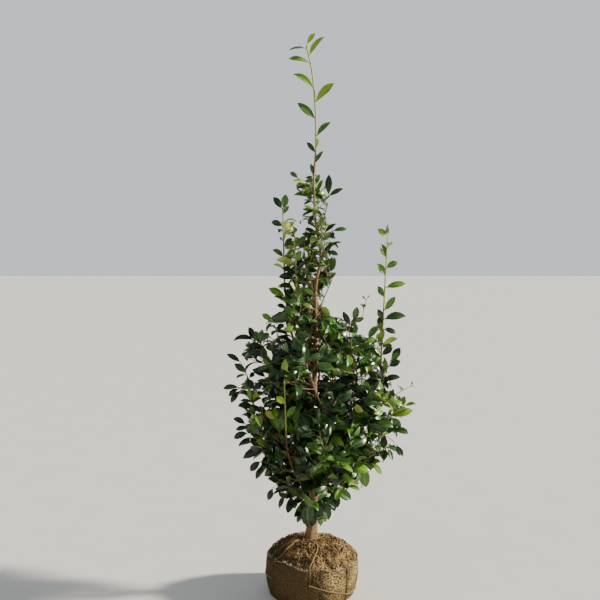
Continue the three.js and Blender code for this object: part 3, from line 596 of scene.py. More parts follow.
# Bark low down and further up: place on the ramp and colour
BARK_LOW = [(0.3, (0.060, 0.035, 0.014)), (0.5, (0.195, 0.125, 0.052)), (0.72, (0.40, 0.285, 0.135))]
BARK_HIGH = [(0.3, (0.080, 0.042, 0.017)), (0.52, (0.225, 0.130, 0.055)), (0.74, (0.43, 0.29, 0.15))]


# Chance

def chance(*keys):
    """A number from 0 to 1 that depends on nothing but its keys."""
    value = 0x9E3779B9
    for key in keys:
        value = ((value ^ (int(key) & 0xFFFFFFFF)) * 0x85EBCA6B) & 0xFFFFFFFF
        value ^= value >> 13
        value = (value * 0xC2B2AE35) & 0xFFFFFFFF
        value ^= value >> 16
    return value / 4294967296


def swing(*keys):
    return 2 * chance(*keys) - 1


def scatter(keys, first):
    return Vector((swing(*keys, first), swing(*keys, first + 1), swing(*keys, first + 2)))


def between(low, high, share):
    return low + (high - low) * share


def table_at(table, key):
    if key <= table[0][0]:
        return table[0][1]
    for below, above in zip(table, table[1:]):
        if key < above[0]:
            return between(below[1], above[1], (key - below[0]) / (above[0] - below[0]))
    return table[-1][1]


# Photograph

def seen(x, y, depth):
    """The point at a depth that the camera sees at a pixel."""
    across, up = (x - IMAGE_MIDDLE) / FOCAL, (IMAGE_MIDDLE - y) / FOCAL
    way = Vector((across, PITCH_COSINE + up * PITCH_SINE, up * PITCH_COSINE - PITCH_SINE))
    return CAMERA_PLACE + way * ((depth - CAMERA_PLACE.y) / way.y)


def pixel(point):
    """Where the camera sees a point."""
    offset = point - CAMERA_PLACE
    forward = offset.y * PITCH_COSINE - offset.z * PITCH_SINE
    up = offset.y * PITCH_SINE + offset.z * PITCH_COSINE
    return IMAGE_MIDDLE + FOCAL * offset.x / forward, IMAGE_MIDDLE - FOCAL * up / forward


def outline_holds(point, table, inset):
    """Whether a point of the crown lies within an outline in the photograph."""
    x, y = pixel(point)
    if y > table[-1][0] - inset or y < table[0][0]:
        return False
    edge = OUTLINE_ROUGHNESS * noise.noise(Vector((0.5 * x / 9, y / 9, point.y / 60))) - inset
    left = table_at([(row, low) for row, low, _ in table], y)
    right = table_at([(row, high) for row, _, high in table], y)
    return left - edge < x < right + edge


def front_holds(point, mass, inset=0):
    """Whether a point lies where the photograph shows leaves, whatever its depth."""
    if mass in TALL_OUTLINES and outline_holds(point, TALL_OUTLINES[mass], inset):
        return True
    x, y = pixel(point)
    if any(math.hypot(x - gap_x, y - gap_y) < radius for gap_x, gap_y, radius in FRONT_GAPS):
        return False
    return outline_holds(point, FRONT_OUTLINE, inset + (0 if y < CROWN_TOP_ROW else OUTLINE_INSET))


def axis_distance(point):
    return math.hypot(point.x - CROWN_AXIS[0], point.y - CROWN_AXIS[1])


def sky_shows(point):
    """Whether a point lies in one of the gaps that open towards the crown's edge."""
    away = axis_distance(point) / table_at(CROWN_REACH, point.z)
    if away < SKY_FROM or point.z > SKY_TOP:
        return False
    level = between(*SKY_LEVELS, min(1, (away - SKY_FROM) / (1 - SKY_FROM)))
    return noise.noise(point / SKY_PATCH) > level


def on_open_line(point, width):
    """Whether a point hides wood that the photograph shows."""
    x, y = pixel(point)
    for line in OPEN_LINES:
        for here, there in zip(line, line[1:]):
            low, high = sorted((here[1], there[1]))
            if low - 4 <= y <= high + 4:
                share = min(max((y - here[1]) / (there[1] - here[1]), 0), 1)
                near = abs(x - between(here[0], there[0], share)) < width
                if near and point.y < between(here[2], there[2], share):
                    return True
    return False


# Lines

class Path:
    """A smooth line, known by closely set points."""

    def __init__(self, points):
        self.points = [Vector(point) for point in points]
        self.reach = [0.0]
        for here, there in zip(self.points, self.points[1:]):
            self.reach.append(self.reach[-1] + (there - here).length)
        self.length = self.reach[-1]

    def point(self, along):
        target = min(max(along, 0.0), 1.0) * self.length
        index = min(max(bisect.bisect_right(self.reach, target) - 1, 0), len(self.points) - 2)
        span = self.reach[index + 1] - self.reach[index]
        return self.points[index].lerp(self.points[index + 1], (target - self.reach[index]) / span)

    def tangent(self, along):
        reach = 0.02
        return (self.point(min(along + reach, 1)) - self.point(max(along - reach, 0))).normalized()

    def along_at_height(self, height):
        low, high = 0.0, 1.0
        for _ in range(24):
            middle = (low + high) / 2
            if self.point(middle).z < height:
                low = middle
            else:
                high = middle
        return low

    def at_height(self, height):
        return self.point(self.along_at_height(height))

    def spaced(self, step):
        count = max(2, round(self.length / step))
        return np.array([self.point(i / count)[:] for i in range(count + 1)])


def bezier(start, middle, end, count=18):
    shares = [i / count for i in range(count + 1)]
    return [start * (1 - s) ** 2 + middle * (2 * s * (1 - s)) + end * s * s for s in shares]


def smooth_line(knots, count=20):
    """Points on the curve through some knots, as three.js draws it."""
    knots = [Vector(knot) for knot in knots]
    knots = [2 * knots[0] - knots[1]] + knots + [2 * knots[-1] - knots[-2]]
    points = []
    for a, b, c, d in zip(knots, knots[1:], knots[2:], knots[3:]):
        for i in range(count):
            s = i / count
            square, cube = s * s, s * s * s
            point = b + (c - a) * (s / 2)
            point += (2 * a - 5 * b + 4 * c - d) * (square / 2)
            point += (3 * b - a - 3 * c + d) * (cube / 2)
            points.append(point)
    points.append(knots[-2])
    return points


def line_path(rows):
    return Path(smooth_line([(x, y, height) for height, x, y in rows]))


TRUNK = line_path(TRUNK_LINE)
LEADER = line_path(LEADER_LINE)


def polar(radius, bearing, height):
    return Vector((radius * math.cos(bearing), radius * math.sin(bearing), height))


def crown_point(bearing, reach, height):
    return Vector((*CROWN_AXIS, height)) + polar(1, bearing, 0) * reach


# Meshes

def add_object(name, data):
    thing = bpy.data.objects.new(name, data)
    bpy.context.scene.collection.objects.link(thing)
    return thing


class Build:
    """Points and faces of one piece, gathered part by part."""

    def __init__(self):
        self.points = []
        self.faces = []
        self.slots = []
        self.marks = []
        self.count = 0

    def add(self, points, faces, slot=0):
        points = np.asarray(points, float).reshape(-1, 3)
        self.points.append(points)
        self.faces.extend([tuple(corner + self.count for corner in face) for face in faces])
        self.slots.extend([slot] * len(faces))
        self.marks.append(np.zeros((len(points), 2)))
        self.count += len(points)

    def make(self, name, materials):
        mesh = bpy.data.meshes.new(name)
        mesh.from_pydata((np.concatenate(self.points) * MM).tolist(), [], self.faces)
        for material in materials:
            mesh.materials.append(material)
        mesh.polygons.foreach_set("material_index", self.slots)
        mesh.polygons.foreach_set("use_smooth", [True] * len(self.faces))
        marks = np.concatenate(self.marks)
        if marks.any():
            corners = np.zeros(len(mesh.loops), np.int32)
            mesh.loops.foreach_get("vertex_index", corners)
            layer = mesh.uv_layers.new(name="leaf")
            layer.data.foreach_set("uv", marks[corners].ravel())
        mesh.update()
        piece = add_object(name, mesh)
        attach(piece, "root")
        return piece


def frames_along(points):
    """Two cross directions at each point of a line, turning as little as they can."""
    tangents = np.gradient(points, axis=0)
    tangents /= np.linalg.norm(tangents, axis=1)[:, None]
    side = np.cross(tangents[0], (0.3, 0.9, 0.1) if abs(tangents[0][1]) < 0.8 else (0.9, 0.1, 0.3))
    sides = []
    for tangent in tangents:
        side = side - tangent * side.dot(tangent)
        side = side / np.linalg.norm(side)
        sides.append(side)
    sides = np.array(sides)
    return sides, np.cross(tangents, sides)


def tube_faces(rings, sides):
    faces = grid_faces(rings, sides, True)
    faces.append(tuple(range(sides - 1, -1, -1)))
    faces.append(tuple(range((rings - 1) * sides, rings * sides)))
    return faces


def tube_points(points, radii, sides, relief):
    across, over = frames_along(points)
    turns = np.arange(sides) * (2 * math.pi / sides)
    radii = np.asarray(radii, float).reshape(-1, 1) * np.ones((1, sides))
    if relief is not None:
        radii = radii + relief
    cosines, sines = np.cos(turns)[None, :, None], np.sin(turns)[None, :, None]
    ring = across[:, None, :] * cosines + over[:, None, :] * sines
    return points[:, None, :] + ring * radii[:, :, None]


def add_tube(build, points, radii, sides, slot=0, relief=None):
    build.add(tube_points(points, radii, sides, relief), tube_faces(len(points), sides), slot)


def grid_faces(rows, columns, closed):
    faces = []
    for row in range(rows - 1):
        for k in range(columns if closed else columns - 1):
            after = (k + 1) % columns
            here = row * columns
            faces.append((here + k, here + after, here + columns + after, here + columns + k))
    return faces


# Growth

@dataclass(eq=False)
class Mass:
    """A stem with its leaves, and the limb that carries it where it has one."""

    name: str
    limb: list
    stem: list
    radius: float
    habit: dict
    bare: float

    def line(self, stem):
        """The limb and a stem that goes on from it."""
        return (self.limb[:-1] if self.limb else []) + stem


@dataclass(eq=False)
class Shoot:
    """A stem, twig or twiglet, and how its leaves stand on it."""

    path: Path
    foot: float
    tip: float
    seed: int
    key: int
    leaf: float
    bare: float
    kind: str
    mass: str
    parent: object = None
    tone: str = "deep"

    def __post_init__(self):
        self.used = self.kind in ("stem", "tall", "column")

    def use(self):
        """Marks the shoot, and the twig that it grows from, as carrying something."""
        self.used = True
        if self.parent:
            self.parent.use()


def shoot_path(start, direction, length, lift, keys=None):
    end = start + direction * length + UP * (lift * length)
    middle = start + direction * (length / 2)
    if keys:
        middle += scatter(keys, 61) * (0.06 * length)
    return bezier(start, middle, end, 8)


def spread_of(tangent, seed):
    facing = LEAF_FACING + Vector((0.5 * swing(seed, 21), 0.5 * swing(seed, 22), 0))
    return tangent.cross(facing).normalized()


def turned(tangent, side, angle):
    return tangent * math.cos(angle) + side * math.sin(angle)


def crown_holds(point, fringe=CROWN_FRINGE):
    return point.z > CROWN_FLOOR and axis_distance(point) < fringe + table_at(CROWN_REACH, point.z)


def limb_points(foot, tip, shoot_end):
    start = TRUNK.at_height(foot)
    direction = (shoot_end - tip).normalized()
    middle = tip - direction * (0.5 * (start - tip).length)
    return bezier(start, middle, tip)


def bough_ends(i):
    """Foot height, tip, stem's end and foot radius of a bough."""
    rise = i / (BOUGH_COUNT - 1)
    foot = between(BOUGH_LOWEST, BOUGH_HIGHEST, rise)
    bearing = BOUGH_FIRST_BEARING + i * GOLDEN_ANGLE + 0.25 * swing(11, i)
    slope = between(BOUGH_SLOPE_LOW, BOUGH_SLOPE_HIGH, rise)
    usual = table_at(CROWN_REACH, foot + slope * BOUGH_USUAL_REACH)
    reach = BOUGH_SHARE * usual * (1 + 0.15 * swing(12, i))
    tip_height = foot + slope * reach
    end_height = tip_height + between(STEM_RISE_LOW, STEM_RISE_HIGH, rise)
    end_reach = table_at(CROWN_REACH, end_height) - LEAF_ROOM
    tip = crown_point(bearing, reach, tip_height)
    end = crown_point(bearing + 0.3 * swing(13, i), end_reach, end_height)
    return foot, tip, end, between(BOUGH_FOOT_RADIUS, 0.8 * BOUGH_FOOT_RADIUS, rise)


def grow_masses():
    """Every limb with its stem, and every stem on the trunk."""
    limbs = [(f"shoot_{name}", *ends, TALL) for name, *ends in TALL_LIMBS]
    limbs += [(f"foliage_{i + 1:02d}", *bough_ends(i), BUSHY) for i in range(BOUGH_COUNT)]
    limbs.append(("foliage_low", *LOW_BOUGH, BUSHY))
    masses = []
    for name, foot, tip, end, radius, habit in limbs:
        tip, end = Vector(tip), Vector(end)
        stem = shoot_path(tip, (end - tip).normalized(), (end - tip).length, habit["lift"])
        masses.append(Mass(name, limb_points(foot, tip, end), stem, radius, habit, 0))
    for name, height, bearing, length, slope, low in TRUNK_MASSES:
        direction = polar(1, math.radians(bearing), slope)
        habit = LOW if low else BUSHY
        stem = shoot_path(TRUNK.at_height(height), direction.normalized(), length, habit["lift"])
        masses.append(Mass(f"foliage_{name}", None, stem, BOUGH_TIP_RADIUS, habit, BARE_LENGTH))
    return masses


def fitted(start, direction, length, lift, keys, mass):
    """A twig cut to the crown's reach, or None where there is no room for it."""
    for share in (1.0, 0.85, 0.7, 0.55, 0.4):
        points = shoot_path(start, direction, length * share, lift, keys)
        if crown_holds(points[-1], -22) and front_holds(points[-1], mass, 2) and not sky_shows(points[-1]):
            return points
    return None


def side_twigs(path, seed, count, reach, taper, keys_from, first=0.0, turn=TWIG_TURN, angle=TWIG_ANGLE):
    """Key, start, direction and length of the side twigs of a shoot."""
    for k in range(count):
        along = first + (1 - first) * (k + 0.55 + 0.3 * swing(seed, k, 1)) / count
        tangent = path.tangent(along)
        side = spread_of(tangent, seed)
        side.rotate(Matrix.Rotation(k * turn + 0.5 * swing(seed, k, 2), 3, tangent))
        direction = turned(tangent, side, angle * (1 + 0.2 * swing(seed, k, 3)))
        length = reach * (1 - taper * along) * (1 + 0.3 * swing(seed, k, 4))
        yield k + keys_from, path.point(along), direction.normalized(), length


def twigs_of(mass, seed):
    """The twigs on a mass's stem and on its limb, each kind with seeds and keys of its own."""
    path = Path(mass.stem)
    count = max(1, round(path.length / mass.habit["spacing"]))
    reach = mass.habit["twig"]
    yield from side_twigs(path, seed, count, reach, TWIG_TAPER, 1)
    reach *= 0.8
    if mass.habit is not TALL:
        yield from side_twigs(path, seed + 900, count, reach, TWIG_TAPER, 31)
    if mass.limb:
        count, reach, first = TALL_LIMB_TWIGS.get(mass.name, (4, reach, 0.35))
        yield from side_twigs(Path(mass.limb), seed + 1800, count, reach, LIMB_TWIG_TAPER, 61, first)


def twiglets_of(twig):
    """The finer shoots on a twig, where it is long enough to have any."""
    if twig.path.length < TWIGLET_LEAST:
        return
    count = round(twig.path.length / TWIGLET_SPACING)
    seed, keys_from = twig.seed * 7 + twig.key, 200 + 10 * twig.key
    sides = side_twigs(twig.path, seed, count, TWIGLET_LENGTH, 0.3, keys_from, 0.1, math.pi, TWIGLET_ANGLE)
    for key, start, direction, length in sides:
        points = fitted(start, direction, length, 0.1, [twig.seed, key], twig.mass)
        if points is not None:
            path, leaf = Path(points), twig.leaf * TWIGLET_LEAF_SHARE
            yield Shoot(path, *TWIGLET_RADII, twig.seed, key, leaf, TWIG_BARE, "twiglet", twig.mass, twig)


def grow_shoots(masses):
    """All shoots that carry leaves: stems, their twigs, and the twigs' own twiglets."""
    shoots = []
    for seed, mass in enumerate(masses, MASS_SEED):
        stem, leaf = Path(mass.stem), mass.habit["leaf"]
        kind = "tall" if mass.habit is TALL else "stem"
        shoots.append(Shoot(stem, *STEM_RADII, seed, 0, leaf, mass.bare, kind, mass.name))
        for key, start, direction, length in twigs_of(mass, seed):
            points = fitted(start, direction, length, TWIG_LIFT, [seed, key], mass.name)
            if points is not None:
                twig = Shoot(Path(points), *TWIG_RADII, seed, key, leaf, TWIG_BARE, "twig", mass.name)
                shoots.append(twig)
                shoots += twiglets_of(twig)
    return shoots


def column_shoots():
    """The trunk's own leaves and short twigs in the narrow upper part of the crown."""
    line = [TRUNK.at_height(height) for height in range(COLUMN_FOOT, round(TRUNK.points[-1].z), 20)]
    line += [point for point in LEADER.points if point.z < COLUMN_TOP]
    path = Path(line)
    shoots = [Shoot(path, 3, 2, COLUMN_SEED, 0, COLUMN_LEAF, 0, "column", "column")]
    for key, start, direction, length in side_twigs(path, COLUMN_SEED, 22, 44, 0.2, 1):
        points = fitted(start, direction, length, 0.2, [COLUMN_SEED, key], "column")
        if points is not None:
            twig = Path(points)
            shoots.append(Shoot(twig, 1.2, 0.7, COLUMN_SEED, key, COLUMN_LEAF, 4, "twiglet", "column"))
    return shoots


def tone_of(shoot):
    """Young sprays stand at the tips and high up; those inside are dark. Sprays towards the key light's
    side on the right, and those of the column, are made lighter as painted light.
    """
    end = shoot.path.point(1)
    outward = axis_distance(end) / max(table_at(CROWN_REACH, end.z), 30)
    # Lighter outward and high up, where growth is young, and lighter to the right, the key light's side, as
    # painted light.
    light = 0.45 * outward + 0.12 * (end.x - 16) / 260 + 0.2 * (end.z - 560) / 500
    light += 0.26 * swing(shoot.seed, shoot.key, 41)
    if shoot.mass in ("foliage_low", "shoot_right") and chance(shoot.seed, shoot.key, 42) < 0.4:
        light += 0.22
    # The column's leaves made lighter: painted sunlight on them.
    if "column" in shoot.mass:
        light += 0.16
    return next((tone for least, tone in TONE_LEVELS if light > least), "dark")


# Leaves

# The mesh of a leaf: steps and rows along it, its breadth at shares of its length, columns and their rise
STEPS = 50
LEAF_ROWS = np.array([0, 3, 9, 17, 25, 33, 40, 46, 50])
LEAF_OUTLINE = [
    (0, 0.05), (0.06, 0.19), (0.18, 0.55), (0.34, 0.87), (0.5, 1.0), (0.66, 0.94), (0.8, 0.7),
    (0.92, 0.33), (1, 0.04),
]
TOP_COLUMNS = np.array([-1, -0.55, -0.055, 0.055, 0.55, 1])
TOP_LIFTS = np.array([0, 0.2, 0.05, 0.05, 0.2, 0])
BACK_COLUMNS = np.array([1, 0, -1])
BACK_LIFTS = np.array([0, -0.55, 0])
PETIOLE_RADII = [1.35, 1.15, 1.05, 0.45]
VEIN_PHASE = 46.0
VEIN_SLANT = 24.0

# The same for the coarse blade that a leaf is tested with
PROXY_ROWS = np.array([8, 25, 38, 50])
PROXY_COLUMNS = np.array([-1, 0, 1])


def leaf_row(root, chord, facing, length, keys, bend=None, width=LEAF_WIDTH):
    """One leaf as a row of numbers: root, axis, side, normal and form. Its base rises over its chord."""
    chord = chord.normalized()
    normal = (facing - chord * facing.dot(chord)).normalized()
    bend = math.radians(68 + 32 * swing(*keys, 9)) if bend is None else bend
    lift = 0.47 * bend
    axis = chord * math.cos(lift) + normal * math.sin(lift)
    normal = normal * math.cos(lift) - chord * math.sin(lift)
    side = normal.cross(axis)
    form = (
        length,
        width * (1 + 0.11 * swing(*keys, 10)),
        bend,
        0.56 + 0.26 * swing(*keys, 11),
        0.45 * swing(*keys, 12),
        0.08 * swing(*keys, 13),
        6.3 * chance(*keys, 14),
    )
    return np.array([*root, *axis, *side, *normal, *form])


def blade(leaves, rows, columns, lifts):
    """Points of leaves at rows and columns: leaves x rows x columns x 3."""
    root, axis, side, normal = (leaves[:, 3 * i : 3 * i + 3] for i in range(4))
    length, width, bend, fold, twist, sickle, phase = (leaves[:, 12 + i : 13 + i] for i in range(7))
    share = (np.arange(STEPS) + 0.5) / STEPS
    angles = bend * share**1.15
    start = np.zeros((len(leaves), 1))
    forward = np.concatenate([start, np.cumsum(np.cos(angles), 1)], 1)[:, rows] / STEPS
    down = np.concatenate([start, np.cumsum(np.sin(angles), 1)], 1)[:, rows] / STEPS
    at = rows / STEPS
    angle = (bend * at**1.15)[:, :, None]
    half = 0.5 * width * np.interp(at, *zip(*LEAF_OUTLINE))[None, :]
    across = half[:, :, None] * columns
    off = np.abs(across)
    rise = fold[:, :, None] * off - 1.5 * off**2 + lifts / length[:, :, None]
    wave = np.sin(9 * at[None, :, None] + phase[:, :, None] + 1.5 * np.sign(columns))
    rise = rise + 0.06 * off * wave * np.abs(columns)
    turn = twist[:, :, None] * at[None, :, None]
    y = across * np.cos(turn) - rise * np.sin(turn) + sickle[:, :, None] * at[None, :, None] ** 2
    z = across * np.sin(turn) + rise * np.cos(turn)
    x = forward[:, :, None] + z * np.sin(angle)
    z = z * np.cos(angle) - down[:, :, None]
    local = np.stack([x, y, z], -1) * length[:, :, None, None]
    frame = np.stack([axis, side, normal], 1)
    base = root + axis * PETIOLE
    return base[:, None, None, :] + np.einsum("nrcj,njk->nrck", local, frame)


def proxy_of(row):
    """A coarse blade to test a leaf's room with, and its middle."""
    points = blade(row[None, :], PROXY_ROWS, PROXY_COLUMNS, np.zeros(3))[0].reshape(-1, 3)
    faces = grid_faces(len(PROXY_ROWS), len(PROXY_COLUMNS), False)
    return BVHTree.FromPolygons(points.tolist(), faces), points.mean(0)


class Room:
    """What stands already, so that a new leaf cuts through none of it."""

    def __init__(self, wood):
        self.wood = wood
        self.cells = {}
        self.shown = []

    def hides(self, middle):
        """Whether a leaf would stand before one that the photograph shows."""
        x, y = pixel(middle)
        near = (depth for at_x, at_y, depth in self.shown if abs(x - at_x) + abs(y - at_y) < 8)
        return any(middle.y < depth + 12 for depth in near)

    def cell(self, point):
        return tuple(int(math.floor(value / ROOM_CELL)) for value in point)

    def holds(self, tree, middle):
        """Whether a leaf touches neither the wood nor any leaf near by."""
        if tree.overlap(self.wood):
            return False
        x, y, z = self.cell(middle)
        cells = [(x + i, y + j, z + k) for i, j, k in product((-1, 0, 1), repeat=3)]
        return not any(tree.overlap(other) for cell in cells for other in self.cells.get(cell, ()))

    def take(self, tree, middle):
        self.cells.setdefault(self.cell(middle), []).append(tree)


def facing_at(point, keys):
    """Which way a leaf faces: to the light, and away from the crown's axis."""
    outward = Vector((point.x - CROWN_AXIS[0], point.y - CROWN_AXIS[1], 0)) / CROWN_WIDTH
    return (LIGHT + outward + scatter(keys, 6) * 0.9).normalized()


def leaf_spots(shoot):
    """Where leaves may stand on a shoot: number, share of its length, side, and whether at the tip."""
    length = shoot.path.length
    leafy = length - shoot.bare
    count = max(1, round(leafy / LEAF_INTERNODE))
    for k in range(count + 1):
        at_tip = k == count
        along = 1 - 1 / length if at_tip else (shoot.bare + (k + 0.5) / count * leafy) / length
        yield k, along, 1 if k % 2 == 0 else -1, at_tip


def try_spot(shoot, spot, attempt, room):
    """A leaf at a spot, or None where the photograph or what stands already leaves no room."""
    k, along, rank, at_tip = spot
    keys = [shoot.seed, shoot.key, k, attempt]
    tangent = shoot.path.tangent(along)
    side = spread_of(tangent, shoot.seed + shoot.key)
    angle = (0.3 if at_tip else 1) * LEAF_ANGLE * (1 + 0.3 * swing(*keys, 1))
    axis = turned(tangent, side, rank * angle) + scatter(keys, 2) * 0.28 - UP * 0.3
    root = shoot.path.point(along)
    size = (0.8 + 0.35 * math.sin(math.pi * min(1, 0.25 + 0.6 * along))) * (0.86 if at_tip else 1)
    length = shoot.leaf * size * (1 + 0.16 * swing(*keys, 5)) * (1 - 0.03 * attempt)
    row = leaf_row(root, axis, facing_at(root, keys), length, keys)
    tree, middle = proxy_of(row)
    centre = Vector(middle)
    tip = Vector(blade(row[None, :], np.array([STEPS]), np.array([0]), np.zeros(1))[0, 0, 0])
    if shoot.kind != "tall" and (not crown_holds(tip) or sky_shows(centre)):
        return None
    if not front_holds(tip, shoot.mass) or not front_holds(centre, shoot.mass):
        return None
    spots = ((centre, 8), (tip, 5), ((root + centre) / 2, 6), ((tip + centre) / 2, 7))
    if any(on_open_line(point, width) for point, width in spots):
        return None
    if room.hides(centre) or not room.holds(tree, middle):
        return None
    room.take(tree, middle)
    return row


def stepped_tone(tone, keys):
    """A leaf is now and then a tone lighter or darker than its spray."""
    names = list(TONES)[:5]
    draw = chance(*keys, 15)
    step = -1 if draw < 0.16 else 1 if draw > 0.88 else 0
    return names[min(max(names.index(tone) + step, 0), 4)]


def spots_on(path, step, shoot=None):
    """Points of a line with their pixels and their twig."""
    return [(point, *pixel(point), shoot) for point in map(Vector, path.spaced(step))]


def carriers(masses, shoots):
    """Points of the wood that leaves and twigs may stand on."""
    points = []
    for path in (TRUNK, LEADER, *(Path(mass.line(mass.stem)) for mass in masses)):
        points += spots_on(path, 4)
    for shoot in shoots:
        if shoot.kind == "twig":
            points += spots_on(shoot.path, 4, shoot)
    return points


def carrier_for(x, y, points, climb):
    """The point of the wood that best carries a pixel, rather at the front than at the back."""
    best, owner, least = None, None, math.inf
    for point, at_x, at_y, shoot in points:
        side = abs(x - at_x)
        if side > CARRIER_REACH:
            continue
        cost = side + 1.4 * abs(at_y - y - climb * side) + max(0, point.y + 40) / 30
        if cost < least:
            best, owner, least = point, shoot, cost
    if owner:
        owner.use()
    return best


def sprig_path(twig, points, keys, out=0):
    """The twig of a sprig: from the wood nearest its first pixel, through its others."""
    foot = carrier_for(*twig[0], points, 0.6)
    reach = (seen(*twig[-1], foot.y) - foot).length
    knots = [foot]
    for k, (x, y) in enumerate(twig):
        away = (k + 1) / len(twig)
        knots.append(seen(x, y, foot.y - away * (out + reach * (0.2 - 0.45 * swing(*keys, 51)))))
    if (knots[1] - knots[0]).length < 6:
        knots.pop(1)
    return Path(smooth_line(knots, 6))


def placed_leaf(root, tip, bend, keys, front, breadth):
    """A leaf with its tip at a pixel. Where it looks short, its chord leans to or from the camera."""
    flat = seen(*tip, root.y) - root
    bend = math.radians(bend)
    reach = flat.length
    if reach > 18:
        reach = max(reach, 34 + 8 * chance(*keys, 1))
    depth = math.sqrt(reach**2 - flat.length**2)
    chord = flat + Vector((0, depth * (-1 if chance(*keys, 2) < 0.7 else 1), 0))
    lean = -0.25 if flat.x > 0 > flat.z else 0.4
    upward = Vector((lean * flat.x / reach, -front, 0.78)) + scatter(keys, 6) * 0.22
    if abs(flat.x) < 0.35 * abs(flat.z):
        aside = 0.2 + 0.35 * chance(*keys, 4)
        upward = Vector((aside if chance(*keys, 5) < 0.5 else -aside, -0.9, 0.2))
    length = max(5, reach - PETIOLE) * (0.5 * bend) / math.sin(0.5 * bend)
    return leaf_row(root, chord, upward, length, keys, bend, breadth * (0.44 if flat.length > 47 else 0.53))


def place_sprigs(points, room, leaves):
    """All leaves that the photograph shows one by one, and the twigs that carry them."""
    twigs = []
    for group, (sprigs, front, breadth) in enumerate(SPRIG_LISTS, SPRIG_SEED):
        for number, (twig, rows, *out) in enumerate(sprigs):
            keys = [group, number]
            near = points
            if twig:
                path = sprig_path(twig, points, keys, *out)
                twigs.append(path)
                near = spots_on(path, 2)
            for k, (x, y, tip_x, tip_y, tone, bend) in enumerate(rows):
                root = carrier_for(x, y, near, 0)
                row = placed_leaf(root, (tip_x, tip_y), bend, keys + [k], front, breadth)
                leaves[tone].append(row)
                tree, middle = proxy_of(row)
                room.take(tree, middle)
                room.shown.append((*pixel(Vector(middle)), middle[1]))
    return twigs


def grow_leaves(shoots, room, leaves):
    """The rule's leaves, from the tips inward, each where there is room for it."""
    spots = []
    for order, shoot in enumerate(shoots):
        for spot in leaf_spots(shoot):
            if shoot.kind == "tall" and shoot.path.point(spot[1]).z > TALL_LEAVES_TO[shoot.mass]:
                continue
            from_tip = shoot.path.length * (1 - spot[1])
            spots.append((round(from_tip / 12), order, spot[0], shoot, spot))
    spots.sort(key=lambda item: item[:3])
    for _, _, _, shoot, spot in spots:
        for attempt in range(LEAF_TRIES):
            row = try_spot(shoot, spot, attempt, room)
            if row is not None:
                leaves[stepped_tone(shoot.tone, [shoot.seed, shoot.key, spot[0]])].append(row)
                shoot.use()
                break


def leaf_template():
    """Faces of one leaf with their slots: 0 upper side, 1 midrib, 2 underside."""
    faces, slots = [], []
    first = 0
    for columns, strips in ((TOP_COLUMNS, (0, 0, 1, 0, 0)), (BACK_COLUMNS, (2, 2))):
        across = len(columns)
        for row in range(len(LEAF_ROWS) - 1):
            for k, slot in enumerate(strips):
                here = first + row * across + k
                faces.append((here, here + across, here + across + 1, here + 1))
                slots.append(slot)
        first += len(LEAF_ROWS) * across
    return faces, slots


def leaf_marks(columns):
    """Where each point lies on the leaf, across and along, for the veins."""
    return np.array([(0.5 + 0.5 * column, row / STEPS) for row in LEAF_ROWS for column in columns])


def add_petioles(build, leaves):
    for row in leaves:
        root, axis, normal = row[0:3], row[3:6], row[9:12]
        end = root + axis * 10 - normal * 0.25
        points = np.array([root - axis * 0.4, root + axis * 2.6, root + axis * 5, end])
        add_tube(build, points, PETIOLE_RADII, 4, 1)


def leaf_piece(name, leaves, materials):
    leaves = np.array(leaves)
    top = blade(leaves, LEAF_ROWS, TOP_COLUMNS, TOP_LIFTS).reshape(len(leaves), -1, 3)
    back = blade(leaves, LEAF_ROWS, BACK_COLUMNS, BACK_LIFTS).reshape(len(leaves), -1, 3)
    points = np.concatenate([top, back], 1)
    marks = np.concatenate([leaf_marks(TOP_COLUMNS), leaf_marks(BACK_COLUMNS)])
    faces, slots = leaf_template()
    build = Build()
    each = points.shape[1]
    build.points.append(points.reshape(-1, 3))
    build.marks.append(np.tile(marks, (len(leaves), 1)))
    for i in range(len(leaves)):
        build.faces.extend([tuple(corner + i * each for corner in face) for face in faces])
    build.slots.extend(slots * len(leaves))
    build.count = len(leaves) * each
    add_petioles(build, leaves)
    return build.make(name, materials)


# Root ball

def lump(x, y):
    coarse = math.sin(x / 17 + 1.3 * math.sin(y / 23)) * math.cos(y / 19 - x / 41)
    fine = math.sin(x / 7.3 + 2.1) * math.sin(y / 8.1 + x / 30)
    return SOIL_LUMP * (0.7 * coarse + 0.3 * fine)


def burlap_fold(bearing):
    return FOLD * (math.sin(5 * bearing + 0.7) + 0.6 * math.sin(11 * bearing + 2))


def hem_height(bearing):
    return BALL_RIM_HEIGHT + HEM_WAVE * (math.sin(3 * bearing + 0.4) + 0.7 * math.sin(8 * bearing))


def away_from(bearing, other):
    """How far a bearing lies from another, the short way round."""
    return (bearing - other + math.pi) % (2 * math.pi) - math.pi


def hem_rise(bearing):
    """How far the wrap reaches over its rim, up the soil on the left."""
    away = away_from(bearing, math.radians(HEM_RISE_BEARING))
    return HEM_RISE * math.exp(-((away / HEM_RISE_SPREAD) ** 2))


def ball_radius(height):
    below = height < BALL_BELLY_HEIGHT
    end = BALL_FOOT_RADIUS if below else BALL_RIM_RADIUS
    span = BALL_BELLY_HEIGHT if below else BALL_RIM_HEIGHT - BALL_BELLY_HEIGHT
    away = (height - BALL_BELLY_HEIGHT) / span
    return BALL_BELLY_RADIUS + (end - BALL_BELLY_RADIUS) * away * away


def dome_height(radius, bearing):
    if radius <= SOIL_SEAT_RADIUS:
        return SOIL_TOP_HEIGHT
    out = (radius - SOIL_SEAT_RADIUS) / (BALL_RIM_RADIUS - SOIL_SEAT_RADIUS)
    smooth = between(SOIL_TOP_HEIGHT, hem_height(bearing) - HEM_WAVE, out**DOME_POWER)
    rough = math.sin(math.pi * min(1, out * 1.02)) ** 0.5
    return smooth + rough * lump(radius * math.cos(bearing), radius * math.sin(bearing))


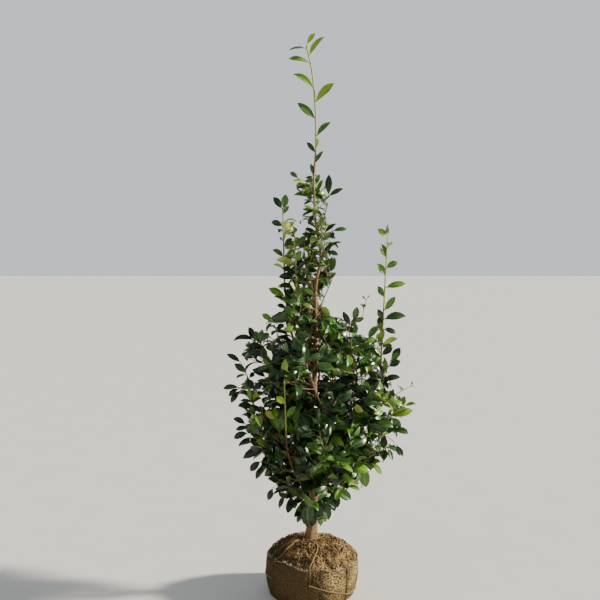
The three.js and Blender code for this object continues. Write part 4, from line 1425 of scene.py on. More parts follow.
def crumble(x, y):
    """Clods and crumbs of the soil over its smooth surface."""
    place = Vector((x, y, 0))
    clods = noise.fractal(place / 13, 1, 2, 3) * 3.8
    nearest = noise.voronoi(place / 9, distance_metric="DISTANCE")[0]
    edges = min(nearest[1] - nearest[0], 0.35) * 6.5
    grains = noise.noise(place / 2.4) * 0.8
    return clods + edges + grains - 1.4


def under_wrap(radius, bearing):
    """Whether soil lies under the part of the wrap that reaches over the rim."""
    return 1 if radius > BALL_RIM_RADIUS - WRAP_LEAN * hem_rise(bearing) else 0


def ring_bearings(segments):
    return [k * 2 * math.pi / segments for k in range(segments)]


def make_soil():
    """The dome of soil, down to where the wrap hides it."""
    radii = [SOIL_RING_STEP * i for i in range(1, SOIL_RINGS + 1)]
    bearings = ring_bearings(SOIL_SEGMENTS)
    points = [(0, 0, SOIL_TOP_HEIGHT)]
    for radius in radii:
        for bearing in bearings:
            x, y = radius * math.cos(bearing), radius * math.sin(bearing)
            calm = min(1, max(0, (radius - 12) / 12))
            calm *= 1 - 0.8 * under_wrap(radius, bearing)
            points.append((x, y, dome_height(radius, bearing) + crumble(x, y) * (0.35 + 0.65 * calm)))
    for height, inset in SOIL_SKIRT:
        points += [polar(ball_radius(height) - inset, bearing, height)[:] for bearing in bearings]
    faces = [(0, 1 + k, 1 + (k + 1) % SOIL_SEGMENTS) for k in range(SOIL_SEGMENTS)]
    rings = grid_faces(len(radii) + 2, SOIL_SEGMENTS, True)
    faces += [tuple(corner + 1 for corner in face) for face in rings]
    build = Build()
    build.add(points, faces)
    return build


def pebble(place, size, keys):
    """A small rough lump, as points and faces."""
    tall = (1 + 5**0.5) / 2
    corners = [(-1, tall, 0), (1, tall, 0), (-1, -tall, 0), (1, -tall, 0)]
    corners += [(0, -1, tall), (0, 1, tall), (0, -1, -tall), (0, 1, -tall)]
    corners += [(tall, 0, -1), (tall, 0, 1), (-tall, 0, -1), (-tall, 0, 1)]
    faces = [(0, 11, 5), (0, 5, 1), (0, 1, 7), (0, 7, 10), (0, 10, 11), (1, 5, 9), (5, 11, 4)]
    faces += [(11, 10, 2), (10, 7, 6), (7, 1, 8), (3, 9, 4), (3, 4, 2), (3, 2, 6), (3, 6, 8)]
    faces += [(3, 8, 9), (4, 9, 5), (2, 4, 11), (6, 2, 10), (8, 6, 7), (9, 8, 1)]
    stretch = Vector((1, 1, 0.75)) + scatter(keys, 1) * 0.3
    points = []
    for i, corner in enumerate(corners):
        point = Vector(corner).normalized() * (size * (1 + 0.28 * swing(*keys, 10 + i)))
        points.append(place + Vector((point.x * stretch.x, point.y * stretch.y, point.z * stretch.z)))
    return points, faces


def surface_at(radius, bearing):
    x, y = radius * math.cos(bearing), radius * math.sin(bearing)
    return Vector((x, y, dome_height(radius, bearing) + crumble(x, y)))


def strand_turn(place, radius):
    """Bearing of a strand of twine on the dome at some radius."""
    bearing = math.radians(TWINE_BEARINGS[place])
    slant = math.radians(TWINE_SLANTS[place])
    turn = bearing + slant * (BALL_RIM_RADIUS - radius) / (BALL_RIM_RADIUS - STRAND_FIRST_RADIUS)
    return turn + 0.03 * math.sin(radius / 21 + bearing * 9)


def near_strand(radius, bearing):
    """Whether a place on the dome lies under a strand of twine."""
    aways = (away_from(bearing, strand_turn(place, radius)) for place in TWINE_BEARINGS)
    return any(abs(away) * radius < STRAND_ROOM for away in aways)


def add_crumbs(build):
    """Loose crumbs on the soil, most of them small."""
    for i in range(SOIL_CRUMBS):
        keys = [CRUMB_SEED, i]
        radius = 26 + 106 * math.sqrt(chance(*keys, 40))
        bearing = 2 * math.pi * chance(*keys, 41)
        if under_wrap(radius + 3, bearing) or near_strand(radius, bearing):
            continue
        size = 0.9 + 3.6 * chance(*keys, 42) ** 2.6
        place = surface_at(radius, bearing) + UP * (0.25 * size)
        points, faces = pebble(place, size, keys)
        build.add([point[:] for point in points], faces)


def make_roots(material):
    """Fine dead roots that stick out of the soil."""
    build = Build()
    for i in range(SOIL_ROOTS):
        keys = [ROOT_SEED, i]
        radius = 34 + 92 * chance(*keys, 1)
        bearing = 2 * math.pi * chance(*keys, 2)
        heading = 2 * math.pi * chance(*keys, 3)
        length = 10 + 22 * chance(*keys, 4)
        curl = 0.09 * swing(*keys, 5)
        points = []
        x, y = radius * math.cos(bearing), radius * math.sin(bearing)
        for k in range(ROOT_STEPS + 1):
            away, turn = min(math.hypot(x, y), 131), math.atan2(y, x)
            lift = 2.6 * math.sin(math.pi * (k / ROOT_STEPS)) - 0.8
            ground = surface_at(away, turn).z * 0.5 + dome_height(away, turn) * 0.5
            points.append((x, y, ground + lift))
            heading += curl * length / ROOT_STEPS
            x += math.cos(heading) * length / ROOT_STEPS
            y += math.sin(heading) * length / ROOT_STEPS
        add_tube(build, np.array(points), [0.75 - 0.05 * k for k in range(ROOT_STEPS + 1)], 4)
    return build.make("soil_roots", [material])


def pressed(bearing, width):
    """How much the strands press on the wrap at a bearing."""
    return sum(math.exp(-((arc_to(bearing, degrees) / width) ** 2)) for degrees in TWINE_BEARINGS.values())


def wrap_point(level, bearing):
    """Radius and height of the wrap at a share of its height: folded, creased, pressed in by the twine."""
    hem = hem_height(bearing)
    height = level * (hem + ragged(bearing) + hem_rise(bearing))
    crease = noise.fractal(polar(5, bearing, height / 42), 1, 2, 3)
    sag = noise.noise(polar(2.2, bearing, height / 30 + 4))
    grip = min(1, level * 4)
    radius = ball_radius(min(height, hem)) + burlap_fold(bearing) * grip
    radius += grip * (1.5 * crease + 1.3 * sag - 1.5 * pressed(bearing, 6.5))
    over = max(0, height - hem) * min(1, hem_rise(bearing) / 5)
    return radius - WRAP_LEAN * over + 1.6 * min(1, over / 4), height


def arc_to(bearing, degrees):
    return away_from(bearing, math.radians(degrees)) * BALL_BELLY_RADIUS


def ragged(bearing):
    """How much the hem runs over or under its even line."""
    return 3.2 * noise.noise(polar(9, bearing, 3)) + 1.6 * noise.noise(polar(34, bearing, 7)) - 1


def make_burlap(material):
    """The wrap from its foot to its hem, which turns in over the soil."""
    levels = [0.0, 0.015, 0.04, 0.07] + [0.1 + 0.9 * i / 44 for i in range(45)]
    rings = [(level, 0, 0) for level in levels] + [(1, 0.2, 1.3), (1, 3, 2.2), (1, 14, 3)]
    points = []
    for level, drop, inset in rings:
        for bearing in ring_bearings(WRAP_SEGMENTS):
            radius, height = wrap_point(level, bearing)
            points.append(polar(radius - inset, bearing, max(0, height) - drop)[:])
    faces = grid_faces(len(rings), WRAP_SEGMENTS, True)
    faces.append(tuple(range(WRAP_SEGMENTS - 1, -1, -1)))
    build = Build()
    build.add(points, faces)
    return build.make("burlap_wrap", [material])


def make_fray(material):
    """Loose threads along the wrap's hem, in tufts."""
    build = Build()
    for i in range(FRAY_THREADS):
        keys = [FRAY_SEED, i]
        bearing = 2 * math.pi * (i + chance(*keys, 1)) / FRAY_THREADS
        if noise.noise(polar(17, bearing, 5)) < 0.22 * swing(*keys, 9):
            continue
        radius, height = wrap_point(1, bearing)
        length = 3 + 11 * chance(*keys, 2) ** 2
        way = polar(0.45 * swing(*keys, 3) + 0.25, bearing, 0.75 + 0.4 * swing(*keys, 4))
        way += polar(1, bearing + math.pi / 2, 0) * (0.9 * swing(*keys, 5))
        way.normalize()
        curl = scatter(keys, 6) * 0.8
        point = polar(radius - 0.6, bearing, height - 1.6)
        points = []
        for _ in FRAY_RADII:
            points.append(point[:])
            point = point + way * (length / 5)
            way = (way + curl * 0.35 - UP * 0.12).normalized()
        add_tube(build, np.array(points), FRAY_RADII, 3)
    return build.make("burlap_fray", [material])


def add_strand(build, path, phase=0.0, slot=0):
    """Two plies twisted round each other along a line."""
    points = path.spaced(1.5)
    across, over = frames_along(points)
    travel = np.linspace(0, path.length, len(points)) * (2 * math.pi / TWINE_TWIST) + phase
    for turn in (0, math.pi):
        circle = across * np.cos(travel + turn)[:, None] + over * np.sin(travel + turn)[:, None]
        line = points + circle * (0.5 * TWINE_RADIUS)
        add_tube(build, line, [0.56 * TWINE_RADIUS] * len(points), 6, slot)


def twine_path(place):
    """A strand from the trunk's foot over the dome and down the wrap, laid on the highest crumbs."""
    bearing = math.radians(TWINE_BEARINGS[place])
    hem = hem_height(bearing)
    points = []
    for radius in np.linspace(STRAND_FIRST_RADIUS, STRAND_LAST_RADIUS, 8):
        turn = strand_turn(place, radius)
        peak = max(surface_at(radius + step, turn).z for step in (-5, -2.5, 0, 2.5, 5))
        points.append(polar(radius, turn, peak + STRAND_LIFT))
    edge = max(hem, dome_height(BALL_RIM_RADIUS - 8, bearing))
    points.append(polar(BALL_RIM_RADIUS - 5, bearing, edge + 3 + 0.22 * hem_rise(bearing)))
    for level in (0.96, 0.8, 0.6, 0.36, 0.16, 0.03):
        radius, _ = wrap_point(level, bearing)
        points.append(polar(radius + 1.5, bearing, level * hem + 2))
    return Path(smooth_line(points, 12))


def band_path():
    """One strand runs from the front round the foot of the ball and up to the strand on the left."""
    points = []
    first, last = BAND_HEIGHTS[0][0], BAND_HEIGHTS[-1][0]
    for k in range(73):
        degrees = between(first, last, k / 72)
        bearing = math.radians(degrees)
        height = table_at(BAND_HEIGHTS, degrees)
        radius, _ = wrap_point(height / hem_height(bearing), bearing)
        points.append(polar(radius + 1.6 + 2.6 * pressed(bearing, 7), bearing, height))
    return Path(smooth_line(points, 4))


def collar_path():
    """A loop round the trunk's foot."""
    points = []
    for k in range(25):
        bearing = k * 2 * math.pi / 24
        height = surface_at(COLLAR_RADIUS, bearing).z + 1.6
        points.append(polar(COLLAR_RADIUS + 1.2 * math.sin(2 * bearing), bearing, height))
    return Path(smooth_line(points, 5))


def make_twine(material, lightly_shaded):
    """Six strands; the one in front also holds the band and the collar."""
    for index, place in enumerate(TWINE_BEARINGS):
        build = Build()
        add_strand(build, twine_path(place), index)
        if place == "front":
            add_strand(build, band_path(), 2, 1)
            add_strand(build, collar_path(), 1, 1)
        piece = build.make(f"strand_{place}", [material, lightly_shaded])
        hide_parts(f"twine_{place}")


# Wood

def trunk_radius(along, angle):
    if along < TRUNK_MIDDLE:
        wood = between(TRUNK_FOOT_RADIUS, TRUNK_MIDDLE_RADIUS, along / TRUNK_MIDDLE)
    else:
        wood = between(TRUNK_MIDDLE_RADIUS, TRUNK_TOP_RADIUS, (along - TRUNK_MIDDLE) / (1 - TRUNK_MIDDLE))
    flare = FLARE_RADIUS * math.exp(-along / FLARE_REACH)
    return wood + flare * (0.6 + 0.4 * math.cos(FLARE_LOBES * angle))


def bark_relief(points, radii, sides, seed):
    """Fine furrows, lenticels and swellings, as an offset for each point of a limb."""
    offsets = np.zeros((len(points), sides))
    for i, (girth, height) in enumerate(zip(radii, points[:, 2])):
        for k in range(sides):
            turn = 2 * math.pi * k / sides
            place = polar(girth, turn, height * 0.16 + seed)
            furrow = noise.fractal(place / 2.6, 1, 2, 3)
            broad = noise.noise(polar(1.3, turn, height / 34 + seed))
            lenticel = max(0, noise.noise(Vector((place.x / 3.4, place.y / 3.4, height / 1.7))) - 0.42)
            offsets[i, k] = 0.032 * girth * furrow + 0.045 * girth * broad + 0.05 * girth * lenticel
    return offsets


def make_trunk(material):
    path = Path([Vector((0, 0, SOIL_TOP_HEIGHT - 6))] + TRUNK.points)
    points = path.spaced(3)
    radii = np.zeros((len(points), TRUNK_SIDES))
    for i, point in enumerate(points):
        along = TRUNK.along_at_height(point[2])
        for k in range(TRUNK_SIDES):
            radii[i, k] = trunk_radius(along, 2 * math.pi * k / TRUNK_SIDES)
    girth = radii.mean(1)
    relief = radii - girth[:, None] + bark_relief(points, girth, TRUNK_SIDES, 0)
    build = Build()
    add_tube(build, points, girth, TRUNK_SIDES, relief=relief)
    return build.make("trunk_bark", [material])


def limb_radius(mass, along, share, length):
    """Radius at a share of a limb and its stem, of which the limb takes another share."""
    if along < share:
        girth = between(mass.radius, BOUGH_TIP_RADIUS, along / share)
        return girth + 1.6 * math.exp(-along * length / 9)
    return between(BOUGH_TIP_RADIUS, 1.15, (along - share) / (1 - share))


def make_limbs(masses, material):
    build = Build()
    for index, mass in enumerate(masses):
        path = Path(mass.line(mass.stem[:2] if mass.habit is TALL else mass.stem))
        points = path.spaced(4)
        share = Path(mass.limb).length / path.length if mass.limb else 0.0
        radii = []
        for i in range(len(points)):
            along = i / (len(points) - 1)
            swell = 1 + 0.04 * math.sin(along * path.length / 5.5 + index)
            radii.append(limb_radius(mass, along, share, path.length) * swell)
        relief = bark_relief(points, radii, LIMB_SIDES, 20 * index + 5)
        add_tube(build, points, radii, LIMB_SIDES, relief=relief)
    return build.make("limbs_bark", [material])


def add_stem(build, line, foot, tip, green_from):
    """A long stem, brown low down and green from some share of its length on."""
    path = Path(line)
    count = round(path.length / 5)
    turn = round(count * green_from)
    for first, last, slot in ((0, turn, 0), (turn, count, 1)):
        points, radii = [], []
        for i in range(first, last + 1):
            points.append(path.point(i / count)[:])
            radii.append(between(foot, tip, i / count) * (1 + 0.05 * math.sin(i * 1.4)))
        if len(points) > 1:
            add_tube(build, np.array(points), radii, LIMB_SIDES, slot)


def add_twig(build, shoot):
    """A twig with a slight knot at every other step."""
    points = shoot.path.spaced(9)
    last = len(points) - 1
    radii = [between(shoot.foot, shoot.tip, i / last) * (1 + 0.12 * (i % 2)) for i in range(last + 1)]
    add_tube(build, points, radii, 5)


def add_bud(build, shoot):
    end, way = shoot.path.point(1), shoot.path.tangent(1)
    hook = scatter([shoot.seed, shoot.key], 71) * 0.5
    bud = [end - way, end + way * 2.5 + hook, end + way * 5.5 + hook * 3]
    add_tube(build, np.array([point[:] for point in bud]), [0.7, 0.85, 0.12], 5)


def make_twigs(masses, shoots, sprigs, material, young_materials):
    """Brown twigs, and the young ones with all the buds, sprigs and tall shoots."""
    old, young = Build(), Build()
    for path in sprigs:
        points = path.spaced(6)
        add_tube(young, points, np.linspace(1.3, 0.7, len(points)), 6)
    used = [shoot for shoot in shoots if shoot.used]
    for shoot in used:
        if shoot.kind in ("twig", "twiglet"):
            fresh = shoot.tone in ("fresh", "young") or shoot.kind == "twiglet"
            add_twig(young if fresh else old, shoot)
    for shoot in used:
        if shoot.kind != "column":
            add_bud(young, shoot)
    add_stem(young, LEADER.points, 1.25 * LEADER_FOOT_RADIUS, 1.9 * LEADER_TIP_RADIUS, 0.3)
    for mass in masses:
        if mass.habit is TALL:
            add_stem(young, mass.stem, 1.15 * BOUGH_TIP_RADIUS, 1.8, GREEN_FROM.get(mass.name, 0.6))
    return old.make("twigs", [material]), young.make("young_twigs", young_materials)


def wood_tree(masses, shoots):
    """Coarse tubes of all the wood, for leaves to keep clear of."""
    build = Build()
    trunk, leader = TRUNK.spaced(20), LEADER.spaced(20)
    add_tube(build, trunk, [trunk_radius(i / 52, 0.4) for i in range(len(trunk))], 6)
    add_tube(build, leader, [2.2] * len(leader), 4)
    for mass in masses:
        if mass.limb:
            points = Path(mass.limb).spaced(20)
            add_tube(build, points, np.linspace(mass.radius, BOUGH_TIP_RADIUS, len(points)), 5)
        points = Path(mass.stem).spaced(20)
        add_tube(build, points, np.linspace(*STEM_RADII, len(points)), 4)
    for shoot in shoots:
        if shoot.kind in ("twig", "twiglet"):
            points = shoot.path.spaced(16)
            add_tube(build, points, [shoot.foot * 0.8] * len(points), 3)
    return BVHTree.FromPolygons(np.concatenate(build.points).tolist(), build.faces)


# Materials

class Value:
    """The output of a node. Arithmetic with it adds math nodes."""

    def __init__(self, shader, socket):
        self.shader = shader
        self.socket = socket

    def math(self, operation, other=0.0):
        return self.shader.math(operation, self, other)

    def __add__(self, other):
        return self.math("ADD", other)

    def __sub__(self, other):
        return self.math("SUBTRACT", other)

    def __rsub__(self, other):
        return self.shader.math("SUBTRACT", other, self)

    def __mul__(self, other):
        return self.math("MULTIPLY", other)

    def __abs__(self):
        return self.math("ABSOLUTE")

    def clamped(self):
        self.socket.node.use_clamp = True
        return self


class Shader:
    """A material and short ways to join its nodes."""

    def __init__(self, name, **values):
        self.material = bpy.data.materials.new(name)
        self.material.use_nodes = True
        self.tree = self.material.node_tree
        self.surface = self.tree.nodes["Principled BSDF"]
        for socket, value in values.items():
            self.surface.inputs[socket.replace("_", " ")].default_value = value
        self.place = self.node("ShaderNodeTexCoord", {}, "Object")

    def put(self, target, value):
        if isinstance(value, Value):
            self.tree.links.new(value.socket, target)
        else:
            target.default_value = value

    def node(self, kind, inputs, output=0, **settings):
        """An output of a new node, whose inputs are set or linked."""
        node = self.tree.nodes.new(kind)
        for key, value in settings.items():
            setattr(node, key, value)
        for socket, value in inputs.items():
            self.put(node.inputs[socket], value)
        return Value(self, node.outputs[output])

    def parts(self, vector):
        node = self.node("ShaderNodeSeparateXYZ", {0: vector}).socket.node
        return [Value(self, output) for output in node.outputs]

    def math(self, operation, first, second=0.0):
        return self.node("ShaderNodeMath", {0: first, 1: second}, operation=operation)

    def noise(self, scale, detail=3.0, rough=0.55, stretch=None):
        """Noise at a scale, drawn out along the height where it has a stretch."""
        place = self.place
        if stretch:
            place = self.node("ShaderNodeMapping", {"Vector": place, "Scale": (1, 1, stretch)}, "Vector")
        inputs = {"Vector": place, "Scale": scale, "Detail": detail, "Roughness": rough}
        return self.node("ShaderNodeTexNoise", inputs, "Fac")

    def ramp(self, value, *stops):
        """Colours or plain levels, each at its place on the ramp."""
        ramp = self.node("ShaderNodeValToRGB", {"Fac": value}, "Color")
        elements = ramp.socket.node.color_ramp.elements
        while len(elements) < len(stops):
            elements.new(0.5)
        for element, (position, colour) in zip(elements, stops):
            element.position = position
            element.color = opaque(colour)
        return ramp

    def fade(self, value, low, high):
        return self.ramp(value, (0.3, low), (0.7, high))

    def mottled(self, value, colour, spread):
        return self.fade(value, shade(colour, 1 - spread), shade(colour, 1 + spread))

    def mix(self, share, first, second):
        inputs = {"Factor": share, "A": opaque(first), "B": opaque(second)}
        return self.node("ShaderNodeMix", inputs, "Result", data_type="RGBA")

    def look(self, colour, rough, height=None, distance=0.0, strength=1.0):
        """Joins colour, roughness and relief to the surface, and gives the material."""
        self.put(self.surface.inputs["Base Color"], colour)
        self.put(self.surface.inputs["Roughness"], rough)
        if height is not None:
            inputs = {"Strength": strength, "Distance": distance, "Height": height}
            self.put(self.surface.inputs["Normal"], self.node("ShaderNodeBump", inputs, "Normal"))
        return self.material


def opaque(colour):
    """A colour or a grey level with its alpha; a node's output as it is."""
    if isinstance(colour, Value):
        return colour
    return (*colour, 1) if isinstance(colour, tuple) else (colour, colour, colour, 1)


def shade(colour, factor):
    return tuple(min(1.0, part * factor) for part in colour)


def leaf_veins(shader):
    """Side veins from the midrib to the edge, by the marks on the leaf."""
    across, along, _ = shader.parts(shader.node("ShaderNodeTexCoord", {}, "UV"))
    return (along * VEIN_PHASE - abs(across - 0.5) * VEIN_SLANT).math("SINE")


def leaf_material(tone, colour):
    """Waxy upper side: mottled green, faint side veins, a clear gloss."""
    shader = Shader(f"leaf_{tone}", Coat_Weight=0.16, Coat_Roughness=0.14, Specular_IOR_Level=0.4)
    mottle = shader.noise(55) * 0.92 + shader.noise(420, 2) * 0.08
    green = shader.fade(mottle, shade(colour, 0.78), shade(colour, 1.24))
    height = leaf_veins(shader) * 0.16 + shader.noise(80, 2) * 1.6
    return shader.look(green, shader.fade(shader.noise(120, 2), 0.24, 0.38), height, 0.0003, 0.35)


def leaf_back_material(name, colour):
    """Dull, paler underside."""
    shader = Shader(f"leaf_back_{name}", Specular_IOR_Level=0.35)
    green = shader.mottled(shader.noise(70), colour, 0.18)
    rough = shader.fade(shader.noise(160, 2), 0.5, 0.66)
    return shader.look(green, rough, leaf_veins(shader), 0.0003, 0.12)


def midrib_material(name, colour):
    shader = Shader(f"midrib_{name}")
    mottle = shader.noise(300, 2)
    return shader.look(shader.mottled(mottle, colour, 0.15), shader.fade(mottle, 0.38, 0.52))


def bark_material(name, brightness):
    """Tan low down, orange-brown further up, with pale flecks and furrows."""
    shader = Shader(name, Specular_IOR_Level=0.3)
    furrow = shader.noise(520, 4, 0.65, 0.18)
    # All colours are scaled by a brightness, which for the limbs is painted shade.
    tan, warm = (
        shader.ramp(furrow, *[(position, shade(colour, brightness)) for position, colour in stops])
        for stops in (BARK_LOW, BARK_HIGH)
    )
    rise = (shader.parts(shader.place)[2] - 0.24) * 5.0
    share = (rise + (shader.noise(24) - 0.5) * 2.2).clamped()
    lichen = shader.ramp(shader.noise(85, 4, 0.6), (0.62, 0.0), (0.7, 1.0)) * 0.5
    bark = shader.mix(lichen, shader.mix(share, tan, warm), (0.36, 0.36, 0.27))
    ridges = furrow + shader.noise(900) * 0.5
    return shader.look(bark, shader.fade(furrow, 0.9, 0.68), ridges, 0.0011, 0.8)


def twig_material(name, low, high, gloss):
    shader = Shader(name, Specular_IOR_Level=0.4)
    streak = shader.noise(380, 3, 0.6, 0.35)
    rough = shader.fade(streak, gloss + 0.12, gloss)
    return shader.look(shader.fade(streak, low, high), rough, shader.noise(700, 2), 0.0004, 0.6)


def soil_material():
    """Sandy brown loam with painted shade in the hollows of its relief and over its left side, and mossy on
    the left.
    """
    shader = Shader("soil", Specular_IOR_Level=0.2)
    grain = shader.noise(460, 4, 0.7)
    # Near black where the grain's relief is low: painted shade in its hollows.
    earth = shader.ramp(
        shader.noise(26, 4, 0.6) * 0.45 + grain * 0.55,
        (0.38, (0.010, 0.006, 0.003)),
        (0.46, (0.080, 0.048, 0.019)),
        (0.54, (0.27, 0.17, 0.068)),
        (0.63, (0.72, 0.50, 0.23)),
    )
    x = shader.parts(shader.place)[0]
    side = ((x + 0.055) * -16.0).clamped()
    moss = (side * ((shader.noise(60) - 0.47) * 5.0)).clamped()
    # Painted shade over the dome's left side.
    painted_left_shade = ((-0.02 - x) * 9.0).clamped()
    earth = shader.mix(painted_left_shade * 0.5, earth, (0.030, 0.021, 0.010))
    earth = shader.mix(moss * 0.75, earth, (0.05, 0.07, 0.018))
    return shader.look(earth, shader.fade(grain, 0.98, 0.86), grain + shader.noise(1500, 2), 0.0016, 0.9)


def root_material():
    shader = Shader("root_fibre", Specular_IOR_Level=0.25)
    streak = shader.noise(260)
    colour = shader.fade(streak, (0.34, 0.22, 0.10), (0.78, 0.60, 0.34))
    return shader.look(colour, shader.fade(streak, 0.9, 0.75))


def burlap_material():
    """Plain weave of coarse jute: uneven threads with a speckle that is painted light on its relief, real
    stains, darker low down, painted shade on the left and painted shadow beside the twine.
    """
    shader = Shader("burlap", Specular_IOR_Level=0.15)
    x, y, z = shader.parts(shader.place)
    bearing = shader.math("ARCTAN2", y, x)
    wobble = (shader.noise(55, 2) - 0.5) * 0.9
    warp = bearing * (WARP_THREADS / (2 * math.pi)) + wobble
    weft = z * (1 / WEFT_SPACING) + wobble
    round_warp, round_weft = (abs((thread * math.pi).math("SINE")) for thread in (warp, weft))
    odd = abs((warp.math("FLOOR") + weft.math("FLOOR")).math("MODULO", 2.0))
    over = round_warp * (round_weft * 0.5 + 0.5)
    under = round_weft * (round_warp * 0.5 + 0.5)
    weave = over * (1.0 - odd) + under * odd
    fibre = shader.noise(900, 3, 0.7)
    slub = shader.noise(230, 3, 0.7)
    # Painted shade over the ball's left half, with a wavering edge.
    painted_left_shade = (((0.052 - z * 0.4) + wobble * 0.03 - x) * 22.0).clamped()
    # A speckle that stands for the light and shade on the weave's relief, painted light, weaker in the
    # painted shade.
    speck_light = (slub - 0.5) * 4.2 * (1.0 - painted_left_shade * 0.75)
    jute = shader.ramp(
        weave * 0.55 + fibre * 0.45 + speck_light,
        (0.08, (0.022, 0.012, 0.004)),
        (0.5, (0.27, 0.175, 0.068)),
        (0.88, (0.84, 0.62, 0.29)),
    )
    stain = shader.ramp(shader.noise(17, 4, 0.62), (0.4, 0.0), (0.66, 1.0))
    low = ((0.05 - z) * 12.0).clamped()
    # Real stains, darkening towards the bottom and the painted shade on the left, mixed to one dark colour.
    cloth = shader.mix((stain + painted_left_shade + low).clamped() * 0.66, jute, (0.055, 0.030, 0.010))
    # Painted shadow in a dark line beside each strand of twine.
    for degrees in TWINE_BEARINGS.values():
        away = abs(bearing - math.radians(degrees))
        twine_shadow = (1.0 - away * (WRAP_RADIUS / TWINE_SHADOW_HALF_WIDTH)).clamped()
        cloth = shader.mix(twine_shadow * 0.8, cloth, (0.012, 0.007, 0.003))
    relief = weave + fibre * 0.4 + slub * 4.5
    return shader.look(cloth, shader.fade(fibre, 0.95, 0.82), relief, 0.0026)


def jute_material(name, low, high, shaded_below=0.0):
    """Twisted fibre, with as much painted shade below the ball's shoulder as is said."""
    shader = Shader(name, Specular_IOR_Level=0.2)
    fibre = shader.noise(1100, 3, 0.7)
    colour = shader.fade(fibre * 0.6 + shader.noise(60, 2) * 0.4, low, high)
    # Painted shade on the strands below the ball's shoulder.
    beneath = ((0.112 - shader.parts(shader.place)[2]) * 90.0).clamped()
    colour = shader.mix(beneath * shaded_below, colour, shade(low, 0.35))
    return shader.look(colour, shader.fade(fibre, 0.92, 0.78), fibre, 0.0006, 0.8)


def floor_material():
    shader = Shader("floor", Specular_IOR_Level=0.2)
    grain = shader.noise(6, 5, 0.6)
    colour = shader.fade(grain, (0.78, 0.77, 0.745), (0.82, 0.81, 0.785))
    return shader.look(colour, shader.fade(grain, 0.92, 0.85))


# Stage

def make_camera():
    data = bpy.data.cameras.new("camera")
    data.sensor_width = 36
    data.lens = FOCAL * data.sensor_width / (2 * IMAGE_MIDDLE)
    camera = add_object("camera", data)
    camera.location = [value * MM for value in CAMERA_PLACE]
    camera.rotation_euler = (math.radians(90) - CAMERA_PITCH, 0, 0)
    bpy.context.scene.camera = camera


def add_lamp(name, kind, way, place=(0, 0, 0), **settings):
    """A lamp that shines along a way."""
    data = bpy.data.lights.new(name, kind)
    for setting, value in settings.items():
        setattr(data, setting, value)
    lamp = add_object(name, data)
    lamp.location = place
    lamp.rotation_euler = way.to_track_quat("-Z", "Y").to_euler()


def make_stage():
    """A plain floor, a low warm key from the right and a soft fill."""
    mesh = bpy.data.meshes.new("floor")
    mesh.from_pydata([(-300, -300, 0), (300, -300, 0), (300, 300, 0), (-300, 300, 0)], [], [(0, 1, 2, 3)])
    mesh.materials.append(floor_material())
    floor = add_object("floor", mesh)
    floor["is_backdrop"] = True
    sun = polar(1, KEY_BEARING, math.tan(KEY_HEIGHT))
    add_lamp("key", "SUN", -sun, energy=9.5, angle=math.radians(5), color=(1.0, 0.92, 0.78))
    fill = Vector((-2.6, -2.6, 2.4))
    way = Vector((0, 0, 0.7)) - fill
    add_lamp("fill", "AREA", way, fill, shape="DISK", size=2.4, energy=6, color=(0.94, 0.97, 1.0))
    bpy.context.scene.world = make_world()


def make_world():
    """An even grey studio with a pale wall of light behind the plant."""
    world = bpy.data.worlds.new("studio")
    world.use_nodes = True
    tree = world.node_tree
    background = tree.nodes["Background"]
    background.inputs["Color"].default_value = (0.865, 0.90, 0.94, 1)
    way = tree.nodes.new("ShaderNodeTexCoord")
    parts = tree.nodes.new("ShaderNodeSeparateXYZ")
    wall = tree.nodes.new("ShaderNodeMapRange")
    wall.interpolation_type = "SMOOTHSTEP"
    for socket, value in (("From Min", 0.25), ("From Max", 0.9), ("To Min", 0.38), ("To Max", 0.86)):
        wall.inputs[socket].default_value = value
    tree.links.new(way.outputs["Generated"], parts.inputs[0])
    tree.links.new(parts.outputs["Y"], wall.inputs["Value"])
    tree.links.new(wall.outputs["Result"], background.inputs["Strength"])
    return world


# Assembly

def dress_ball():
    build = make_soil()
    add_crumbs(build)
    soil = build.make("soil_dome", [soil_material()])
    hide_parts("soil")
    roots = make_roots(root_material())
    wrap = make_burlap(burlap_material())
    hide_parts("burlap")
    fray = make_fray(jute_material("fray", (0.10, 0.06, 0.025), (0.88, 0.78, 0.56)))
    # Strands with strong painted shade below the shoulder, and the band and collar with little.
    shaded_below = jute_material("jute", (0.17, 0.108, 0.042), (0.52, 0.37, 0.165), 0.75)
    make_twine(shaded_below, jute_material("lightly_shaded_jute", (0.20, 0.135, 0.06), (0.56, 0.41, 0.20), 0.25))


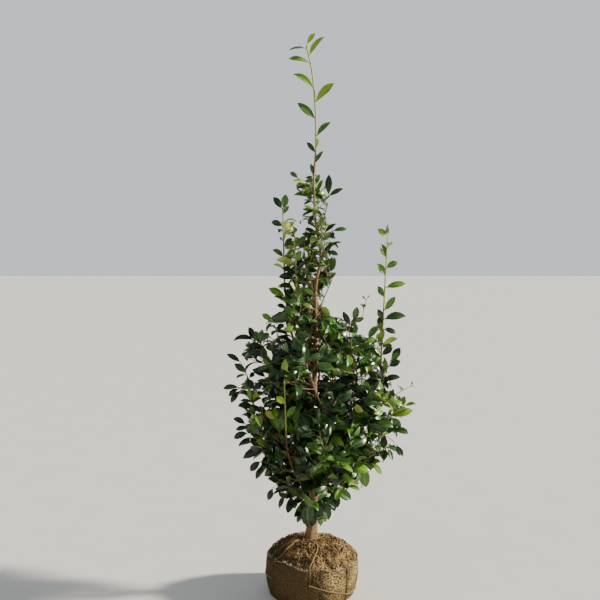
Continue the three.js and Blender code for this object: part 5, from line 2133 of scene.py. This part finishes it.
def dress_wood(nodes, masses, shoots, sprigs):
    trunk = make_trunk(bark_material("bark", 1.0))
    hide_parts("trunk")
    # The limbs' bark is the trunk's at half brightness: painted shade for the wood inside the crown.
    limbs = make_limbs(masses, bark_material("limb_bark_shaded", 0.5))
    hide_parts(*[name for name in nodes if name.startswith(("limb_", "bough_"))])
    brown = twig_material("twig", (0.060, 0.034, 0.014), (0.20, 0.125, 0.046), 0.55)
    tan = twig_material("young_twig", (0.13, 0.085, 0.028), (0.31, 0.225, 0.08), 0.5)
    green = twig_material("green_twig", (0.20, 0.25, 0.04), (0.42, 0.46, 0.11), 0.46)
    twigs, young = make_twigs(masses, shoots, sprigs, brown, [tan, green])
    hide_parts(*[name for name in nodes if name.startswith("foliage_")])
    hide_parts(*[name for name in nodes if name.startswith("shoot_")])


def dress_leaves(leaves):
    backs = {
        "dull": leaf_back_material("dull", (0.095, 0.155, 0.038)),
        "bright": leaf_back_material("bright", (0.34, 0.46, 0.085)),
    }
    ribs = {
        "dull": midrib_material("dull", (0.045, 0.095, 0.02)),
        "bright": midrib_material("bright", (0.32, 0.44, 0.09)),
    }
    for tone, (colour, kind) in TONES.items():
        looks = [leaf_material(tone, colour), ribs[kind], backs[kind]]
        parts = math.ceil(len(leaves[tone]) / MOST_LEAVES)
        for k in range(parts):
            name = f"leaves_{tone}" + (f"_{k + 1}" if k else "")
            piece = leaf_piece(name, leaves[tone][k::parts], looks)


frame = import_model()
cad_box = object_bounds()
make_camera()
make_stage()
dress_ball()
masses = grow_masses()
shoots = grow_shoots(masses) + column_shoots()
for shoot in shoots:
    shoot.tone = tone_of(shoot)
leaves = {tone: [] for tone in TONES}
room = Room(wood_tree(masses, shoots))
sprigs = place_sprigs(carriers(masses, shoots), room, leaves)
grow_leaves(shoots, room, leaves)
dress_wood(frame["nodes"], masses, shoots, sprigs)
dress_leaves(leaves)
boxes = {"cad": cad_box, "visual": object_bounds()}
{name: [list(corner) for corner in box] for name, box in boxes.items()}
